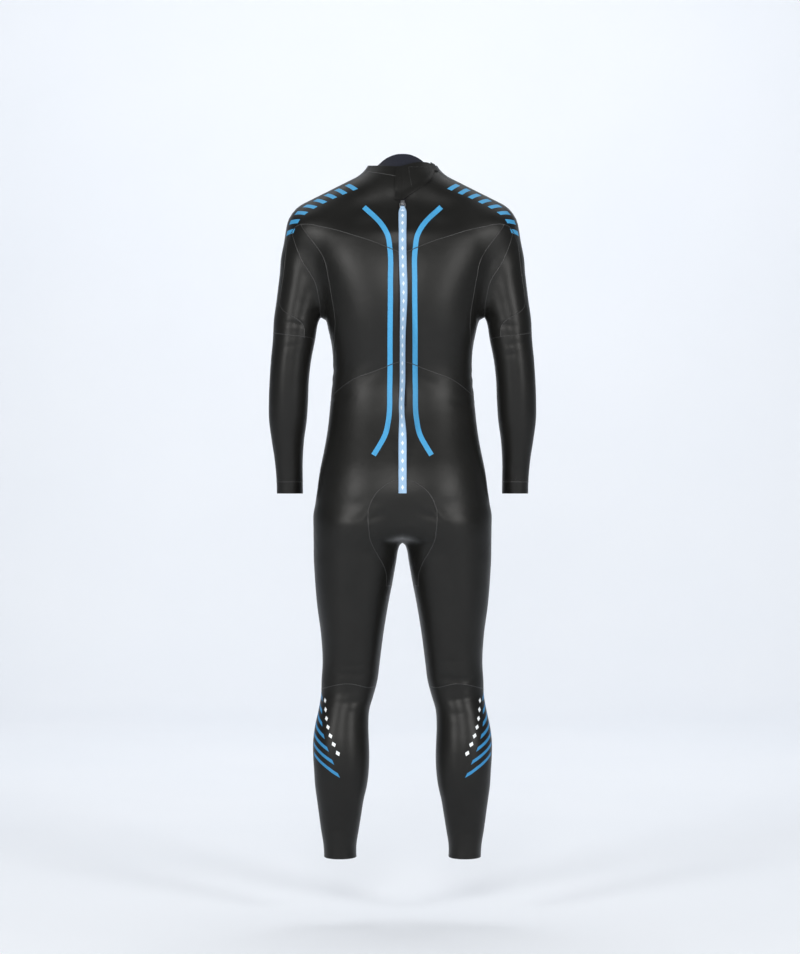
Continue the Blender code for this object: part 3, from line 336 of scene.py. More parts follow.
# Soft creases by limb: the side (1 is the wearer's left), angle and height at both ends, how far the middle
# is bowed up, half the width of the trough and its depth.
CREASE_COLUMNS = "side start high end low bow width depth"
CREASE_POINTS = 12
CREASE_ENDS = 0.35         # share of its length in which a crease runs out
RIDGE_SHARE = 0.40         # height of the ridges beside it against its depth
RIDGE_PLACE, RIDGE_WIDTH, CREASE_REACH = 2.1, 1.1, 4   # all in half widths of the trough
FLAT_BY_ZIP, CREASED_OVER = 0.012, 0.020   # none nearer the zip, and the stretch over which they grow
CREASES = {
    "trunk": table(
        CREASE_COLUMNS,
        (1, 62, 1.150, 112, 1.139, 0.006, 0.0060, 0.0011),
        (1, 76, 1.124, 126, 1.108, 0.005, 0.0052, 0.0009),
        (1, 46, 1.100, 92, 1.086, 0.004, 0.0058, 0.0009),
        (-1, 58, 1.139, 106, 1.150, -0.005, 0.0056, 0.0010),
        (-1, 70, 1.112, 121, 1.121, 0.006, 0.0062, 0.0011),
        (-1, 50, 1.090, 88, 1.078, -0.004, 0.0050, 0.0008),
        (1, 136, 1.127, 172, 1.117, 0.005, 0.0065, 0.0009),
        (-1, 139, 1.104, 174, 1.113, -0.004, 0.0060, 0.0008),
        (1, 20, 1.152, 46, 1.128, 0.004, 0.0070, 0.0007),
        (-1, 18, 1.138, 43, 1.119, -0.003, 0.0066, 0.0007),
        (1, 10, 0.866, 52, 0.848, -0.010, 0.0075, 0.0012),
        (-1, 9, 0.871, 47, 0.852, -0.011, 0.0070, 0.0011),
        (1, 124, 0.906, 163, 0.852, -0.006, 0.0068, 0.0011),
        (-1, 121, 0.899, 160, 0.846, -0.007, 0.0064, 0.0012),
        (1, 132, 0.872, 158, 0.834, -0.004, 0.0055, 0.0008),
        (-1, 128, 0.934, 152, 0.900, -0.004, 0.0060, 0.0007),
        (1, 70, 1.282, 95, 1.238, 0.004, 0.0060, 0.0010),
        (1, 58, 1.262, 78, 1.221, 0.003, 0.0055, 0.0008),
        (-1, 66, 1.278, 92, 1.230, 0.005, 0.0064, 0.0011),
        (1, 118, 1.278, 146, 1.252, 0.004, 0.0060, 0.0008),
        (-1, 115, 1.272, 140, 1.240, 0.003, 0.0056, 0.0009),
    ),
    "arm": table(
        CREASE_COLUMNS,
        (1, -38, 1.240, 42, 1.248, 0.003, 0.0042, 0.0009),
        (1, -30, 1.206, 50, 1.200, -0.003, 0.0040, 0.0008),
        (1, -24, 1.186, 22, 1.191, 0.003, 0.0046, 0.0005),
        (-1, -42, 1.243, 30, 1.236, 0.003, 0.0044, 0.0008),
        (-1, -26, 1.204, 56, 1.210, -0.002, 0.0040, 0.0009),
        (-1, -35, 1.178, 16, 1.184, 0.002, 0.0045, 0.0006),
        (1, 150, 1.233, 246, 1.222, 0.004, 0.0048, 0.0013),
        (1, 166, 1.206, 252, 1.213, -0.003, 0.0044, 0.0011),
        (1, 142, 1.182, 226, 1.175, 0.003, 0.0050, 0.0009),
        (-1, 148, 1.226, 240, 1.236, 0.004, 0.0048, 0.0012),
        (-1, 160, 1.200, 248, 1.196, -0.004, 0.0046, 0.0013),
        (-1, 140, 1.172, 214, 1.178, 0.003, 0.0050, 0.0008),
        (1, -88, 1.282, -24, 1.258, 0.004, 0.0060, 0.0012),
        (-1, -84, 1.276, -28, 1.250, 0.005, 0.0062, 0.0012),
        (1, 216, 1.280, 262, 1.262, 0.004, 0.0060, 0.0010),
        (-1, 212, 1.274, 256, 1.250, 0.003, 0.0056, 0.0011),
        (1, 96, 0.952, 196, 0.947, 0.002, 0.0036, 0.0006),
        (1, -34, 0.968, 40, 0.963, -0.002, 0.0038, 0.0005),
        (-1, 110, 0.962, 205, 0.957, 0.003, 0.0038, 0.0006),
        (-1, -40, 0.944, 28, 0.949, 0.002, 0.0036, 0.0005),
    ),
    "leg": table(
        CREASE_COLUMNS,
        (1, -62, 0.516, 46, 0.523, 0.004, 0.0052, 0.0011),
        (1, -55, 0.470, 58, 0.463, -0.004, 0.0050, 0.0011),
        (1, -34, 0.540, 30, 0.534, 0.003, 0.0060, 0.0007),
        (1, -28, 0.446, 36, 0.450, 0.003, 0.0056, 0.0007),
        (-1, -58, 0.518, 52, 0.512, -0.003, 0.0052, 0.0012),
        (-1, -50, 0.463, 60, 0.471, 0.004, 0.0050, 0.0010),
        (-1, -30, 0.545, 24, 0.550, 0.003, 0.0062, 0.0006),
        (-1, -38, 0.439, 22, 0.444, -0.003, 0.0058, 0.0007),
        (1, 138, 0.522, 224, 0.514, 0.003, 0.0060, 0.0007),
        (-1, 142, 0.466, 218, 0.474, -0.003, 0.0058, 0.0007),
        (1, -40, 0.198, 50, 0.191, 0.003, 0.0046, 0.0007),
        (1, 118, 0.183, 216, 0.189, -0.002, 0.0044, 0.0008),
        (1, -26, 0.228, 34, 0.232, 0.003, 0.0050, 0.0005),
        (-1, -36, 0.186, 56, 0.193, 0.002, 0.0046, 0.0008),
        (-1, 112, 0.204, 210, 0.196, 0.003, 0.0046, 0.0007),
        (-1, -22, 0.236, 30, 0.230, -0.003, 0.0052, 0.0005),
        (1, -66, 0.782, -8, 0.800, 0.005, 0.0070, 0.0011),
        (1, -74, 0.750, -20, 0.762, 0.004, 0.0066, 0.0008),
        (-1, -64, 0.776, -4, 0.797, 0.005, 0.0070, 0.0012),
        (-1, -72, 0.742, -26, 0.750, -0.004, 0.0064, 0.0007),
        (1, 196, 0.770, 254, 0.742, 0.004, 0.0066, 0.0009),
        (-1, 190, 0.764, 250, 0.738, 0.004, 0.0064, 0.0010),
    ),
}

# The closure's stitched outlines: the hook patch, then the flap's slanted edge; angles are round the neck.
HOOK_PATCH = table("round height", (-46, 1.5655), (-11, 1.5655), (-12.0, 1.5470), (-15.5, 1.5190),
                   (-24, 1.5245), (-34, 1.5350), (-44, 1.5480), (-46, 1.5655))
FLAP_EDGE = table("round height", (-3, 1.5018), (-12, 1.5100), (-21, 1.5190), (-31, 1.5292), (-42, 1.5415),
                  (-50, 1.5560))
SEAM_ROUND, HEM_ROUND = 0.0005, 0.0009
ROUNDING_STEPS, ROUNDING_ANGLE = 2, 50        # an edge sharper than this many degrees is rounded
MITRE_LEAST = 0.3                            # keeps the set-back of a very sharp corner short
BEAD_HALF_WIDTH = 0.0010
BEAD = table("share high", (0.00, 0.00045), (0.40, 0.00040), (0.75, 0.00020), (1.00, -0.00020))
THIN_PARTS = ("collar", "shoulder", "sleeve", "forearm", "cuff")

# The trims round the neck: cells across and down, and how far the outer skin is off the form.
FLAP_CELLS, GUARD_CELLS, TAPE_CELLS = (90, 36), (90, 20), (16, 16)
TRIM_LIFT, GUARD_LIFT = OVER_FACETS + TRIM_WALL, -SLEEVE_WALL - OVER_FACETS
TAPE_ROUND, OUTLINE_POINTS = 0.0003, 200

# The zip's coils and the leash's strip; the leash is one piece of webbing, width by whole length.
LEASH_CUT, LEASH_AREA, LEASH_ROUND = (0.017, 0.625), 0.0100, 0.0002
COIL_ENDS = (1.535, 1.108)
COIL_PITCH, COIL_STEPS = 0.0016, 12
COIL_OFFSET, COIL_HALF_WIDTH, COIL_HALF_THICK, COIL_RADIUS = 0.00125, 0.00130, 0.00040, 0.00036
COIL_SUNK, COIL_GUIDES = 0.0004, 60
LEASH_STRIPS = 10
BAR_PLAY, FOLD_START, FOLD_POINTS, TURN_POINTS = 0.0001, 0.0005, 20, 15   # of the fold over the ring's bar
LEASH_BELOW_BAR, HANG_POINTS, LINE_STEPS = 0.004, 34, 400                 # of the stretch that hangs
LEASH_TACKS, TACK_SHARE, TACK_POINTS = (0.0016, 0.0075), 0.82, 40     # along it, and across its width
DIAMOND_PITCH, DIAMOND_HALF_LENGTH, DIAMOND_HALF_WIDTH = 0.0180, 0.0052, 0.0030
RIB_PITCH, YARN_PITCH, BORDER_FROM = 0.00085, 0.00060, 0.0063
FLAP_EDGE_LIFT, FLAP_EDGE_FROM = 0.0022, 0.7  # how much more the flap's lower edge stands off, and from where
# Stitches: pitch, length, the thread's radius, how high they stand up and how far they swing to either side.
PATCH_STITCH = (0.0021, 0.0023, 0.00028, 0.0004, 0.0011)
TACK_STITCH = (0.00045, 0.0006, 0.00018, 0.00025, 0.0011)
CUFF_STITCH = (0.0034, 0.0024, 0.00022, 0.0002, 0.0)
CUFF_STITCH_RISE = 0.0035                    # over the cuff's seam
STITCH_POINTS, STITCH_STEP, SUNK_SHARE = 7, 1e-4, 0.3
THREAD_SIDES, THREAD_TIP = 5, 0.15           # a thread's tip is this share of its radius

# Colours, as the photograph shows them.
INK_EDGE = 0.0003
SKIN_DARK, SKIN_LIGHT = (0.0058, 0.0058, 0.0054, 1), (0.0108, 0.0107, 0.0100, 1)
SKIN_GLOSS, SKIN_ROUGH = 0.20, 0.31
BLUE_DEEP, BLUE_FULL, WHITE_INK = colour(62, 142, 190), colour(80, 162, 208), colour(222, 226, 228)
CALF_DEEP, CALF_FULL = colour(50, 122, 170), colour(62, 138, 186)
METAL_DARK, METAL_LIGHT = colour(120, 121, 124), colour(168, 169, 172)
RIBBON_BLUE, RIBBON_GREY, RIBBON_EDGE = colour(166, 203, 232), colour(150, 178, 206), colour(120, 150, 185)
TAPE_DARK, TAPE_LIGHT = colour(9, 9, 11), colour(26, 26, 30)
RIBBON_WHITE, RIBBON_PAINTED_SHADE = colour(240, 245, 249), colour(92, 120, 152)
FLOOR_PALE, FLOOR_PALER = colour(236, 240, 246), colour(240, 243, 248)

# Studio: the camera stands straight behind, as the photograph's did.
CAMERA_ACROSS, CAMERA_DISTANCE, CAMERA_HEIGHT, CAMERA_LENS = 0.0052, 5.0, 0.930, 90.57
FLOOR_NEAR, FLOOR_BEND, FLOOR_FAR, BEND_RADIUS, WALL_HEIGHT, FLOOR_HALF = 7.0, -4.2, -6.2, 2.0, 9.0, 18.0
LIGHTS = (                                   # name, place, aim, size, spread in degrees, watts, colour
    ("left key", (2.6, 3.3, 0.15), (0, 0, -0.55), (0.9, 1.6), 180, 80, (1.0, 0.99, 0.97)),
    ("right key", (-2.6, 3.3, 0.15), (0, 0, -0.55), (0.9, 1.6), 180, 80, (1.0, 0.99, 0.97)),
    ("middle key", (0.2, 4.6, 0.4), (0, 0, -0.6), (1.2, 0.8), 180, 80, (1.0, 0.99, 0.97)),
    ("wall wash", (0.0, -2.6, 3.2), (0, -5.6, -0.8), (7.0, 1.2), 180, 131, (0.975, 0.98, 0.985)),
    ("floor wash", (0.0, -1.0, 3.4), (0, -1.8, -1.5), (7.0, 3.0), 180, 98, (0.975, 0.98, 0.985)),
)
WORLD_COLOUR, WORLD_STRENGTH = (0.88, 0.91, 0.95, 1), 0.16


# ---------------------------------------------------------------- curves through the tables
def curve(stations, values, at):
    """A smooth curve through a table's rows, as cubic spans whose slopes come from the rows beside them."""
    slopes = np.gradient(values, stations)
    at = np.clip(at, stations[0], stations[-1])
    row = np.clip(np.searchsorted(stations, at, side="right") - 1, 0, len(stations) - 2)
    span = stations[row + 1] - stations[row]
    t = (at - stations[row]) / span
    start, end = values[row], values[row + 1]
    return (start * (1 + 2 * t) * (1 - t) ** 2 + end * t * t * (3 - 2 * t)
            + span * t * (1 - t) * (slopes[row] * (1 - t) - slopes[row + 1] * t))


def read(sizes, column, at):
    """One column of a table at any station."""
    return curve(next(iter(sizes.values())), sizes[column], at)


def ease(t):
    """From 0 to 1 with level ends."""
    t = np.clip(t, 0, 1)
    return t * t * (3 - 2 * t)


# ---------------------------------------------------------------- the worn form
def joined(a, b, blend):
    """The union of two distances, with a fillet that is about as wide as blend."""
    share = np.clip(0.5 + 0.5 * (b - a) / blend, 0, 1)
    return b + (a - b) * share - blend * share * (1 - share)


def shared(a, b, blend):
    """Where both distances are inside, with the edge rounded."""
    return -joined(-a, -b, blend)


def section(sizes, x, y, height, middle=0.0, square=LIMB_SQUARE):
    """Distance to a level section's outline, along the line from its middle."""
    back, front = read(sizes, "back", height), read(sizes, "front", height)
    across = np.abs(x - middle) + 1e-6
    depth = np.abs(y - (back + front) / 2)
    reach = ((across / read(sizes, "half", height)) ** square
             + (depth / ((back - front) / 2)) ** square) ** (1 / square)
    length = np.hypot(across, depth)
    return length - length / reach


def form(points):
    """How far points lie outside the worn form; inside it the distance is negative."""
    x, y, height = np.abs(points[..., 0]), points[..., 1], points[..., 2]
    trunk = section(TRUNK, x, y, height, square=TRUNK_SQUARE)
    trunk = shared(trunk, TRUNK_FOOT - height, FOOT_ROUNDING)
    trunk = shared(trunk, height - TRUNK_TOP, TOP_ROUNDING)
    legs = joined(section(LEG, x, y, height, read(LEG, "middle", height)),
                  section(LEG, -x, y, height, read(LEG, "middle", height)), LEG_BLEND)
    legs = shared(legs, height - LEG["height"][-1], LIMB_ROUNDING)
    arm = section(ARM, x, y, height, read(ARM, "middle", height))
    arm = shared(arm, height - ARM["height"][-1], ARM_ROUNDING)
    neck = shared(section(NECK, x, y, height), NECK["height"][0] - height, LIMB_ROUNDING)
    slope = SLOPE_TO - SLOPE_FROM
    flat = np.stack([x, y / SLOPE_DEEPER, height], -1) - SLOPE_FROM
    along = np.clip(flat @ slope / (slope @ slope), 0, 1)
    roll = np.linalg.norm(flat - along[..., None] * slope, axis=-1) - SLOPE_RADIUS
    body = joined(joined(trunk, roll, TRUNK_BLEND), neck, TRUNK_BLEND)
    body = joined(body, legs, CROTCH_BLEND)
    return joined(body, arm, TRUNK_BLEND * ease((height - ARM_BLEND_FOOT) / ARM_BLEND_RISE) + ARM_BLEND_LEAST)


def outward(points):
    """Unit directions straight out of the form."""
    steps = SLOPE_STEP * np.eye(3)
    slope = np.stack([form(points + step) - form(points - step) for step in steps], -1)
    return slope / np.linalg.norm(slope, axis=-1, keepdims=True)


def settled(points):
    """Points near the form's skin, moved straight onto it."""
    for _ in range(SETTLING_STEPS):
        points = points - outward(points) * (form(points) * SETTLING_SHARE)[..., None]
    return points


def reached(start, towards, longest, samples=60, halvings=18):
    """The first point of the skin along rays that start inside the form."""
    start, towards = np.broadcast_arrays(start, towards)
    steps = np.linspace(0, longest, samples)
    outside = form(start[..., None, :] + towards[..., None, :] * steps[:, None]) > 0
    first = np.maximum(outside.argmax(-1), 1)
    low, high = steps[first - 1], steps[first]
    for _ in range(halvings):
        middle = (low + high) / 2
        out = form(start + towards * middle[..., None]) > 0
        low, high = np.where(out, low, middle), np.where(out, middle, high)
    return start + towards * ((low + high) / 2)[..., None]


def level_ring(sizes, height, round_back, longest, middle=None):
    """Points at these heights and angles round a limb's middle; 0 degrees is the back, 90 the outer side."""
    centre = np.zeros(np.broadcast(height, round_back).shape + (3,))
    if middle is not None:
        centre[..., 0] = read(sizes, "middle", height)
    centre[..., 1] = (read(sizes, "back", height) + read(sizes, "front", height)) / 2
    centre[..., 2] = height
    turn = np.radians(round_back)
    return reached(centre, np.stack([np.sin(turn), np.cos(turn), 0 * turn], -1), longest)


def angle_in(sizes, points, middle=None):
    """The angles at which these points lie round a limb's middle, in the same sense as level_ring."""
    height = points[..., 2]
    across = points[..., 0] - (0 if middle is None else read(sizes, "middle", height))
    depth = points[..., 1] - (read(sizes, "back", height) + read(sizes, "front", height)) / 2
    return np.degrees(np.arctan2(across, depth))


# ---------------------------------------------------------------- the net of rows and columns
def stations(steps, fine):
    """Row positions: each whole number is a seam or guide, with its own count of rows before the next."""
    spans = [np.linspace(i, i + 1, n * fine, endpoint=False) for i, n in enumerate(steps)]
    return np.concatenate(spans + [[len(steps)]])


def yoke_net(fine):
    """Collar, shoulders and the trunk down to the armholes, for the wearer's left half."""
    columns = np.linspace(0, YOKE_COLUMNS, YOKE_COLUMNS * fine + 1)
    turn = read(NECK_ROUND, "round", columns)
    rings = []
    for edge in (COLLAR_TOP, COLLAR_SEAM):
        rings.append(level_ring(NECK, read(edge, "height", turn), turn, SHORT_RAY))
    rings.append(np.stack([read(SLOPE_RING, side, columns) for side in ("across", "depth", "height")], -1))
    for ring in range(3, RINGS + 1):
        rows = YOKE_RINGS["ring"] == ring
        part = {name: YOKE_RINGS[name][rows] for name in ("column", "across", "depth", "height")}
        rings.append(np.stack([read(part, side, columns) for side in ("across", "depth", "height")], -1))
    rings = settled(np.array(rings))
    rows = stations(YOKE_STEPS, fine)
    collar = rings[0] + (rings[1] - rings[0]) * np.clip(rows, 0, 1)[:, None, None]
    net = collar
    for start, end in ((1, 3), (3, RINGS)):
        flat = rings[start:end + 1].reshape(end + 1 - start, -1)
        ringed = np.arange(start, end + 1)
        spans = np.stack([curve(ringed, values, rows) for values in flat.T], -1)
        net = np.where((rows > start)[:, None, None], spans.reshape(len(rows), *rings[0].shape), net)
    net = settled(net)
    net[:, 0, 0] = net[:, -1, 0] = 0
    return rows, columns, net


def armpit(back, front, fine):
    """The curve under the arm from the back of the armhole to its front: straight down onto the saddle."""
    share = (np.arange(1, ARMPIT_COLUMNS * fine) / (ARMPIT_COLUMNS * fine))[:, None]
    start = back + (front - back) * share
    start[:, 2] = start[:, 2] + ARMPIT_RISE
    return reached(start, np.array([0, 0, -1.0]), SHORT_RAY)


def level_of(seam, turn):
    """A seam's heights at these angles, from its table; a level seam is a plain number."""
    return read(seam, "height", turn) if isinstance(seam, dict) else np.full_like(turn, seam)


def trunk_net(fine, split):
    """The trunk from the armholes to the crotch; split is its first row."""
    columns = np.linspace(0, TRUNK_COLUMNS, TRUNK_COLUMNS * fine + 1)
    rows = stations(TRUNK_STEPS, fine)[1:]
    turn_0, height_0 = angle_in(TRUNK, split), split[:, 2]
    net = [split]
    for row in rows:
        turn, height = turn_0, height_0
        for _ in range(NET_TRIES):
            levels = [height_0] + [level_of(seam, turn) for seam in (WAIST_SEAM, GUSSET_TOP, CROTCH_HEIGHT)]
            band = min(int(row), 2)
            height = levels[band] + (levels[band + 1] - levels[band]) * (row - band)
            back = (read(TRUNK, "back", height[0]) - read(TRUNK, "front", height[0])) / 2
            keys = [0, np.degrees(ZIP_HALF / back), GUSSET_ROUND, read(SIDE_SEAM, "round", height[5 * fine]),
                    FRONT_SEAM_ROUND, GUSSET_FRONT_ROUND, 180]
            even = np.interp(columns, TRUNK_KEYS, keys)
            turn = turn_0 + (even - turn_0) * ease(row / ARMHOLE_SETTLES)
        net.append(level_ring(TRUNK, height, turn, TRUNK_RAY))
    net = np.array(net)
    net[:, 0, 0] = net[:, -1, 0] = 0
    return np.concatenate([[0], rows]), columns, net


def limb_net(sizes, steps, first, seams, layouts, settles, fine, longest):
    """A sleeve or leg: level rings from a first row down over its seams, whose columns even out.

    seams gives the height of each one, and layouts the angles of the columns at each.
    """
    rows = stations(steps, fine)[1:]
    turn_0 = np.degrees(np.unwrap(np.radians(angle_in(sizes, first, True))))
    turn_0 -= 360 * np.round((turn_0.mean() - layouts[0](None).mean()) / 360)
    net = [first]
    for row in rows:
        band = min(int(row), len(steps) - 1)
        turn, height = turn_0, first[:, 2]
        for _ in range(NET_TRIES):
            bounds = [first[:, 2]] + [level_of(seam, turn) for seam in seams]
            height = bounds[band] + (bounds[band + 1] - bounds[band]) * (row - band)
            wanted = layouts[band](height) if band == 0 else (
                layouts[band - 1](height) + (layouts[band](height) - layouts[band - 1](height))
                * ease((row - band) / settles[band]))
            turn = turn_0 + (wanted - turn_0) * ease(row / settles[0]) if band == 0 else wanted
        net.append(level_ring(sizes, height, turn, longest, True))
    return np.concatenate([[0], rows]), np.array(net)


def arm_net(fine, first):
    """The sleeve from the armhole to the cuff's hem; first is its upper ring, without the repeated end."""
    columns = np.arange(ARM_COLUMNS * fine) / fine

    def upper(height):
        """The strip's edges, and a column behind and in front of them; without heights, as at the elbow."""
        edge = STRIP_EDGE["round"][0] if height is None else read(STRIP_EDGE, "round", height[2 * fine])
        inner = INNER_ROUND if height is None else min(INNER_ROUND, edge - INNER_BEHIND)
        return np.interp(columns, ARM_KEYS, [inner, edge, 180 - edge, 180 - inner, 360 + inner])

    def even(height):
        return 90 + 360 / ARM_COLUMNS * (columns - ARM_OUTER_COLUMN)

    seams = (ELBOW_SEAM, CUFF_SEAM_HEIGHT, CUFF_HEM_HEIGHT)
    return limb_net(ARM, ARM_STEPS, first, seams, [upper, even, even], ARM_SETTLES, fine, ARM_RAY)


def leg_net(fine, first):
    """The leg from the crotch to its hem; first is its upper ring, without the repeated end."""
    columns = np.arange(LEG_COLUMNS * fine) / fine

    def lobe(height):
        return np.interp(columns, GUSSET_LOBE["column"], GUSSET_LOBE["round"])

    def even(height):
        return 90 + 360 / LEG_COLUMNS * (columns - LEG_OUTER_COLUMN)

    seams = (GUSSET_END_HEIGHT, KNEE_SEAM, LEG_HEM_HEIGHT)
    return limb_net(LEG, LEG_STEPS, first, seams, [lobe, even, even], LEG_SETTLES, fine, LEG_RAY)


def crotch_curve(back, front, fine):
    """Points on the middle plane from the front of the crotch round its underside to its back."""
    middle = np.array([0, (back[1] + front[1]) / 2, CROTCH_MIDDLE])
    ends = [np.arctan2(end[1] - middle[1], middle[2] - end[2]) for end in (front, back)]
    turn = np.linspace(*ends, CROTCH_COLUMNS * fine + 1)[1:-1]
    return reached(middle, np.stack([0 * turn, np.sin(turn), -np.cos(turn)], -1), SHORT_RAY)


def yoke_panel(row, column):
    """The pieces that cells of the yoke's net belong to; none is the gap of the collar over the zip."""
    return np.select(
        [(row < 1) & (column < 1), row < 1, column < 1, column > 17,
         (row < 3) | ((column > 8) & (column < 14)), column < 5, (column > 6) & (column < 16)],
        ["none", "collar", "zip", "front", "shoulder", "back", "sleeve"], "side")


def trunk_panel(row, column):
    """The pieces that cells of the trunk's net belong to."""
    return np.select(
        [(row < 1 + ZIP_STEPS / TRUNK_STEPS[1]) & (column < 1), (row < 1) & (column < 5),
         (row < 1) & (column < 12), row < 1, (row > 2) & ((column < 3) | (column > 15))],
        ["zip", "back", "side", "front", "gusset"], "thigh")


def arm_panel(row, column):
    """The pieces that cells of the arm's net belong to."""
    return np.select([(row < 1) & (column > 2) & (column < 8), row < 1, row < 2],
                     ["shoulder", "sleeve", "forearm"], "cuff")


def leg_panel(row, column):
    """The pieces that cells of the leg's net belong to."""
    return np.select([(row < 1) & ((column < 3) | (column > 15)), row < 2], ["gusset", "thigh"], "calf")


WHOLE = ("collar", "zip", "front", "gusset")   # pieces that cross the middle plane


def suit_net(fine):
    """All points of the net, and each piece's cells as rings of four points, counter-clockwise outside."""
    points, cells = [], {}

    def add(rows_of_points, known):
        """Number a net's points; known holds the numbers of the ones that another net already has."""
        numbers = known.copy()
        new = numbers < 0
        numbers[new] = sum(map(len, points)) + np.arange(new.sum())
        points.append(rows_of_points[new])
        return numbers

    def lay(rows, columns, numbers, panel, closed=False):
        """Sort a net's cells by piece."""
        if closed:
            numbers = np.concatenate([numbers, numbers[:, :1]], 1)
            columns = np.append(columns, columns[-1] + 1 / fine)
        rings = cells_between(numbers)
        names = panel((rows[1:, None] + rows[:-1, None]) / 2, (columns[1:] + columns[:-1]) / 2)
        for name in set(names.ravel()) - {"none"}:
            cells.setdefault(str(name), []).append(rings[names == name])

    rows, columns, yoke = yoke_net(fine)
    yoke_numbers = add(yoke, np.full(yoke.shape[:2], -1))
    lay(rows, columns, yoke_numbers, yoke_panel)
    notch_back, notch_front = NOTCH_BACK * fine, NOTCH_FRONT * fine
    under = armpit(yoke[-1, notch_back], yoke[-1, notch_front], fine)
    under_numbers = add(under[None], np.full((1, len(under)), -1))[0]

    split = np.concatenate([yoke[-1, :notch_back + 1], under, yoke[-1, notch_front:]])
    rows, columns, trunk = trunk_net(fine, split)
    known = np.full(trunk.shape[:2], -1)
    edge = yoke_numbers[-1]
    known[0] = np.concatenate([edge[:notch_back + 1], under_numbers, edge[notch_front:]])
    trunk_numbers = add(trunk, known)
    lay(rows, columns, trunk_numbers, trunk_panel)

    ring = np.concatenate([yoke[-1, notch_back:notch_front + 1], under[::-1]])
    rows, arm = arm_net(fine, ring)
    known = np.full(arm.shape[:2], -1)
    known[0] = np.concatenate([edge[notch_back:notch_front + 1], under_numbers[::-1]])
    lay(rows, np.arange(ARM_COLUMNS * fine) / fine, add(arm, known), arm_panel, closed=True)

    crotch = crotch_curve(trunk[-1, 0], trunk[-1, -1], fine)
    crotch_numbers = add(crotch[None], np.full((1, len(crotch)), -1))[0]
    rows, leg = leg_net(fine, np.concatenate([trunk[-1], crotch]))
    known = np.full(leg.shape[:2], -1)
    known[0] = np.concatenate([trunk_numbers[-1], crotch_numbers])
    lay(rows, np.arange(LEG_COLUMNS * fine) / fine, add(leg, known), leg_panel, closed=True)

    points = np.concatenate(points)
    middle = points[:, 0] == 0
    twin = np.where(middle, np.arange(len(points)), len(points) + np.cumsum(~middle) - 1)
    everything = np.concatenate([points, points[~middle] * [-1, 1, 1]])
    pieces = {}
    for name in sorted(cells):
        left = np.concatenate(cells[name])
        right = twin[left][:, ::-1]
        if name in WHOLE:
            pieces[name] = np.concatenate([left, right])
        else:
            pieces[name + "_l"], pieces[name + "_r"] = left, right
    return everything, pieces


# ---------------------------------------------------------------- creases and prints, as fields over the suit
LIMBS = {"trunk": (TRUNK, TRUNK_RAY, None), "arm": (ARM, ARM_RAY, True), "leg": (LEG, LEG_RAY, True)}


def distances(path):
    """How far each point of a path is along it."""
    return np.concatenate([[0], np.cumsum(np.linalg.norm(np.diff(path, axis=0), axis=1))])


def along_path(at, places, values):
    """Points or directions that are known at some places along a path, read off anywhere between them."""
    return np.stack([np.interp(at, places, values[:, i]) for i in range(3)], -1)


def beside(points, path):
    """How far points lie from a path of straight pieces, and the share of its length at the nearest place."""
    start, run = path[:-1], np.diff(path, axis=0)
    length = np.linalg.norm(run, axis=1)
    along = np.clip(((points[:, None] - start) * run).sum(-1) / length ** 2, 0, 1)
    gap = np.linalg.norm(points[:, None] - start - along[..., None] * run, axis=-1)
    nearest = gap.argmin(1)
    pick = np.arange(len(points)), nearest
    before = distances(path)
    return gap[pick], (before[nearest] + along[pick] * length[nearest]) / before[-1]


def close_to(points, path, reach):
    """Which points are inside a path's box, widened by the reach."""
    return ((points > path.min(0) - reach) & (points < path.max(0) + reach)).all(1)


def on_skin(limb, turn, height, side):
    """Points of the form at angles and heights round a limb, on the wearer's left (1) or right (-1)."""
    sizes, longest, middle = LIMBS[limb]
    return level_ring(sizes, height, turn, longest, middle) * [side, 1, 1]


def crease_lift(points):
    """How far the creases move points along the form's direction.

    Each crease is a bell-shaped trough along a bowed path, with a lower and wider bell on either side, and it
    runs out towards both ends. All of them fade beside the zip, which stays flat.
    """
    lift = np.zeros(len(points))
    share = np.linspace(0, 1, CREASE_POINTS)
    for limb, rows in CREASES.items():
        for side, start, high, end, low, bow, width, depth in zip(*rows.values()):
            turn = start + (end - start) * share
            height = high + (low - high) * share + bow * np.sin(np.pi * share)
            path = on_skin(limb, turn, height, side)
            near = close_to(points, path, CREASE_REACH * width)
            gap, along = beside(points[near], path)
            gap = gap / width
            trough = np.exp(-gap ** 2) - RIDGE_SHARE * np.exp(-((gap - RIDGE_PLACE) / RIDGE_WIDTH) ** 2)
            lift[near] -= depth * trough * ease(along / CREASE_ENDS) * ease((1 - along) / CREASE_ENDS)
    beside_zip = ease((np.abs(points[:, 0]) - FLAT_BY_ZIP) / CREASED_OVER)
    return lift * np.where(points[:, 1] > 0, beside_zip, 1)


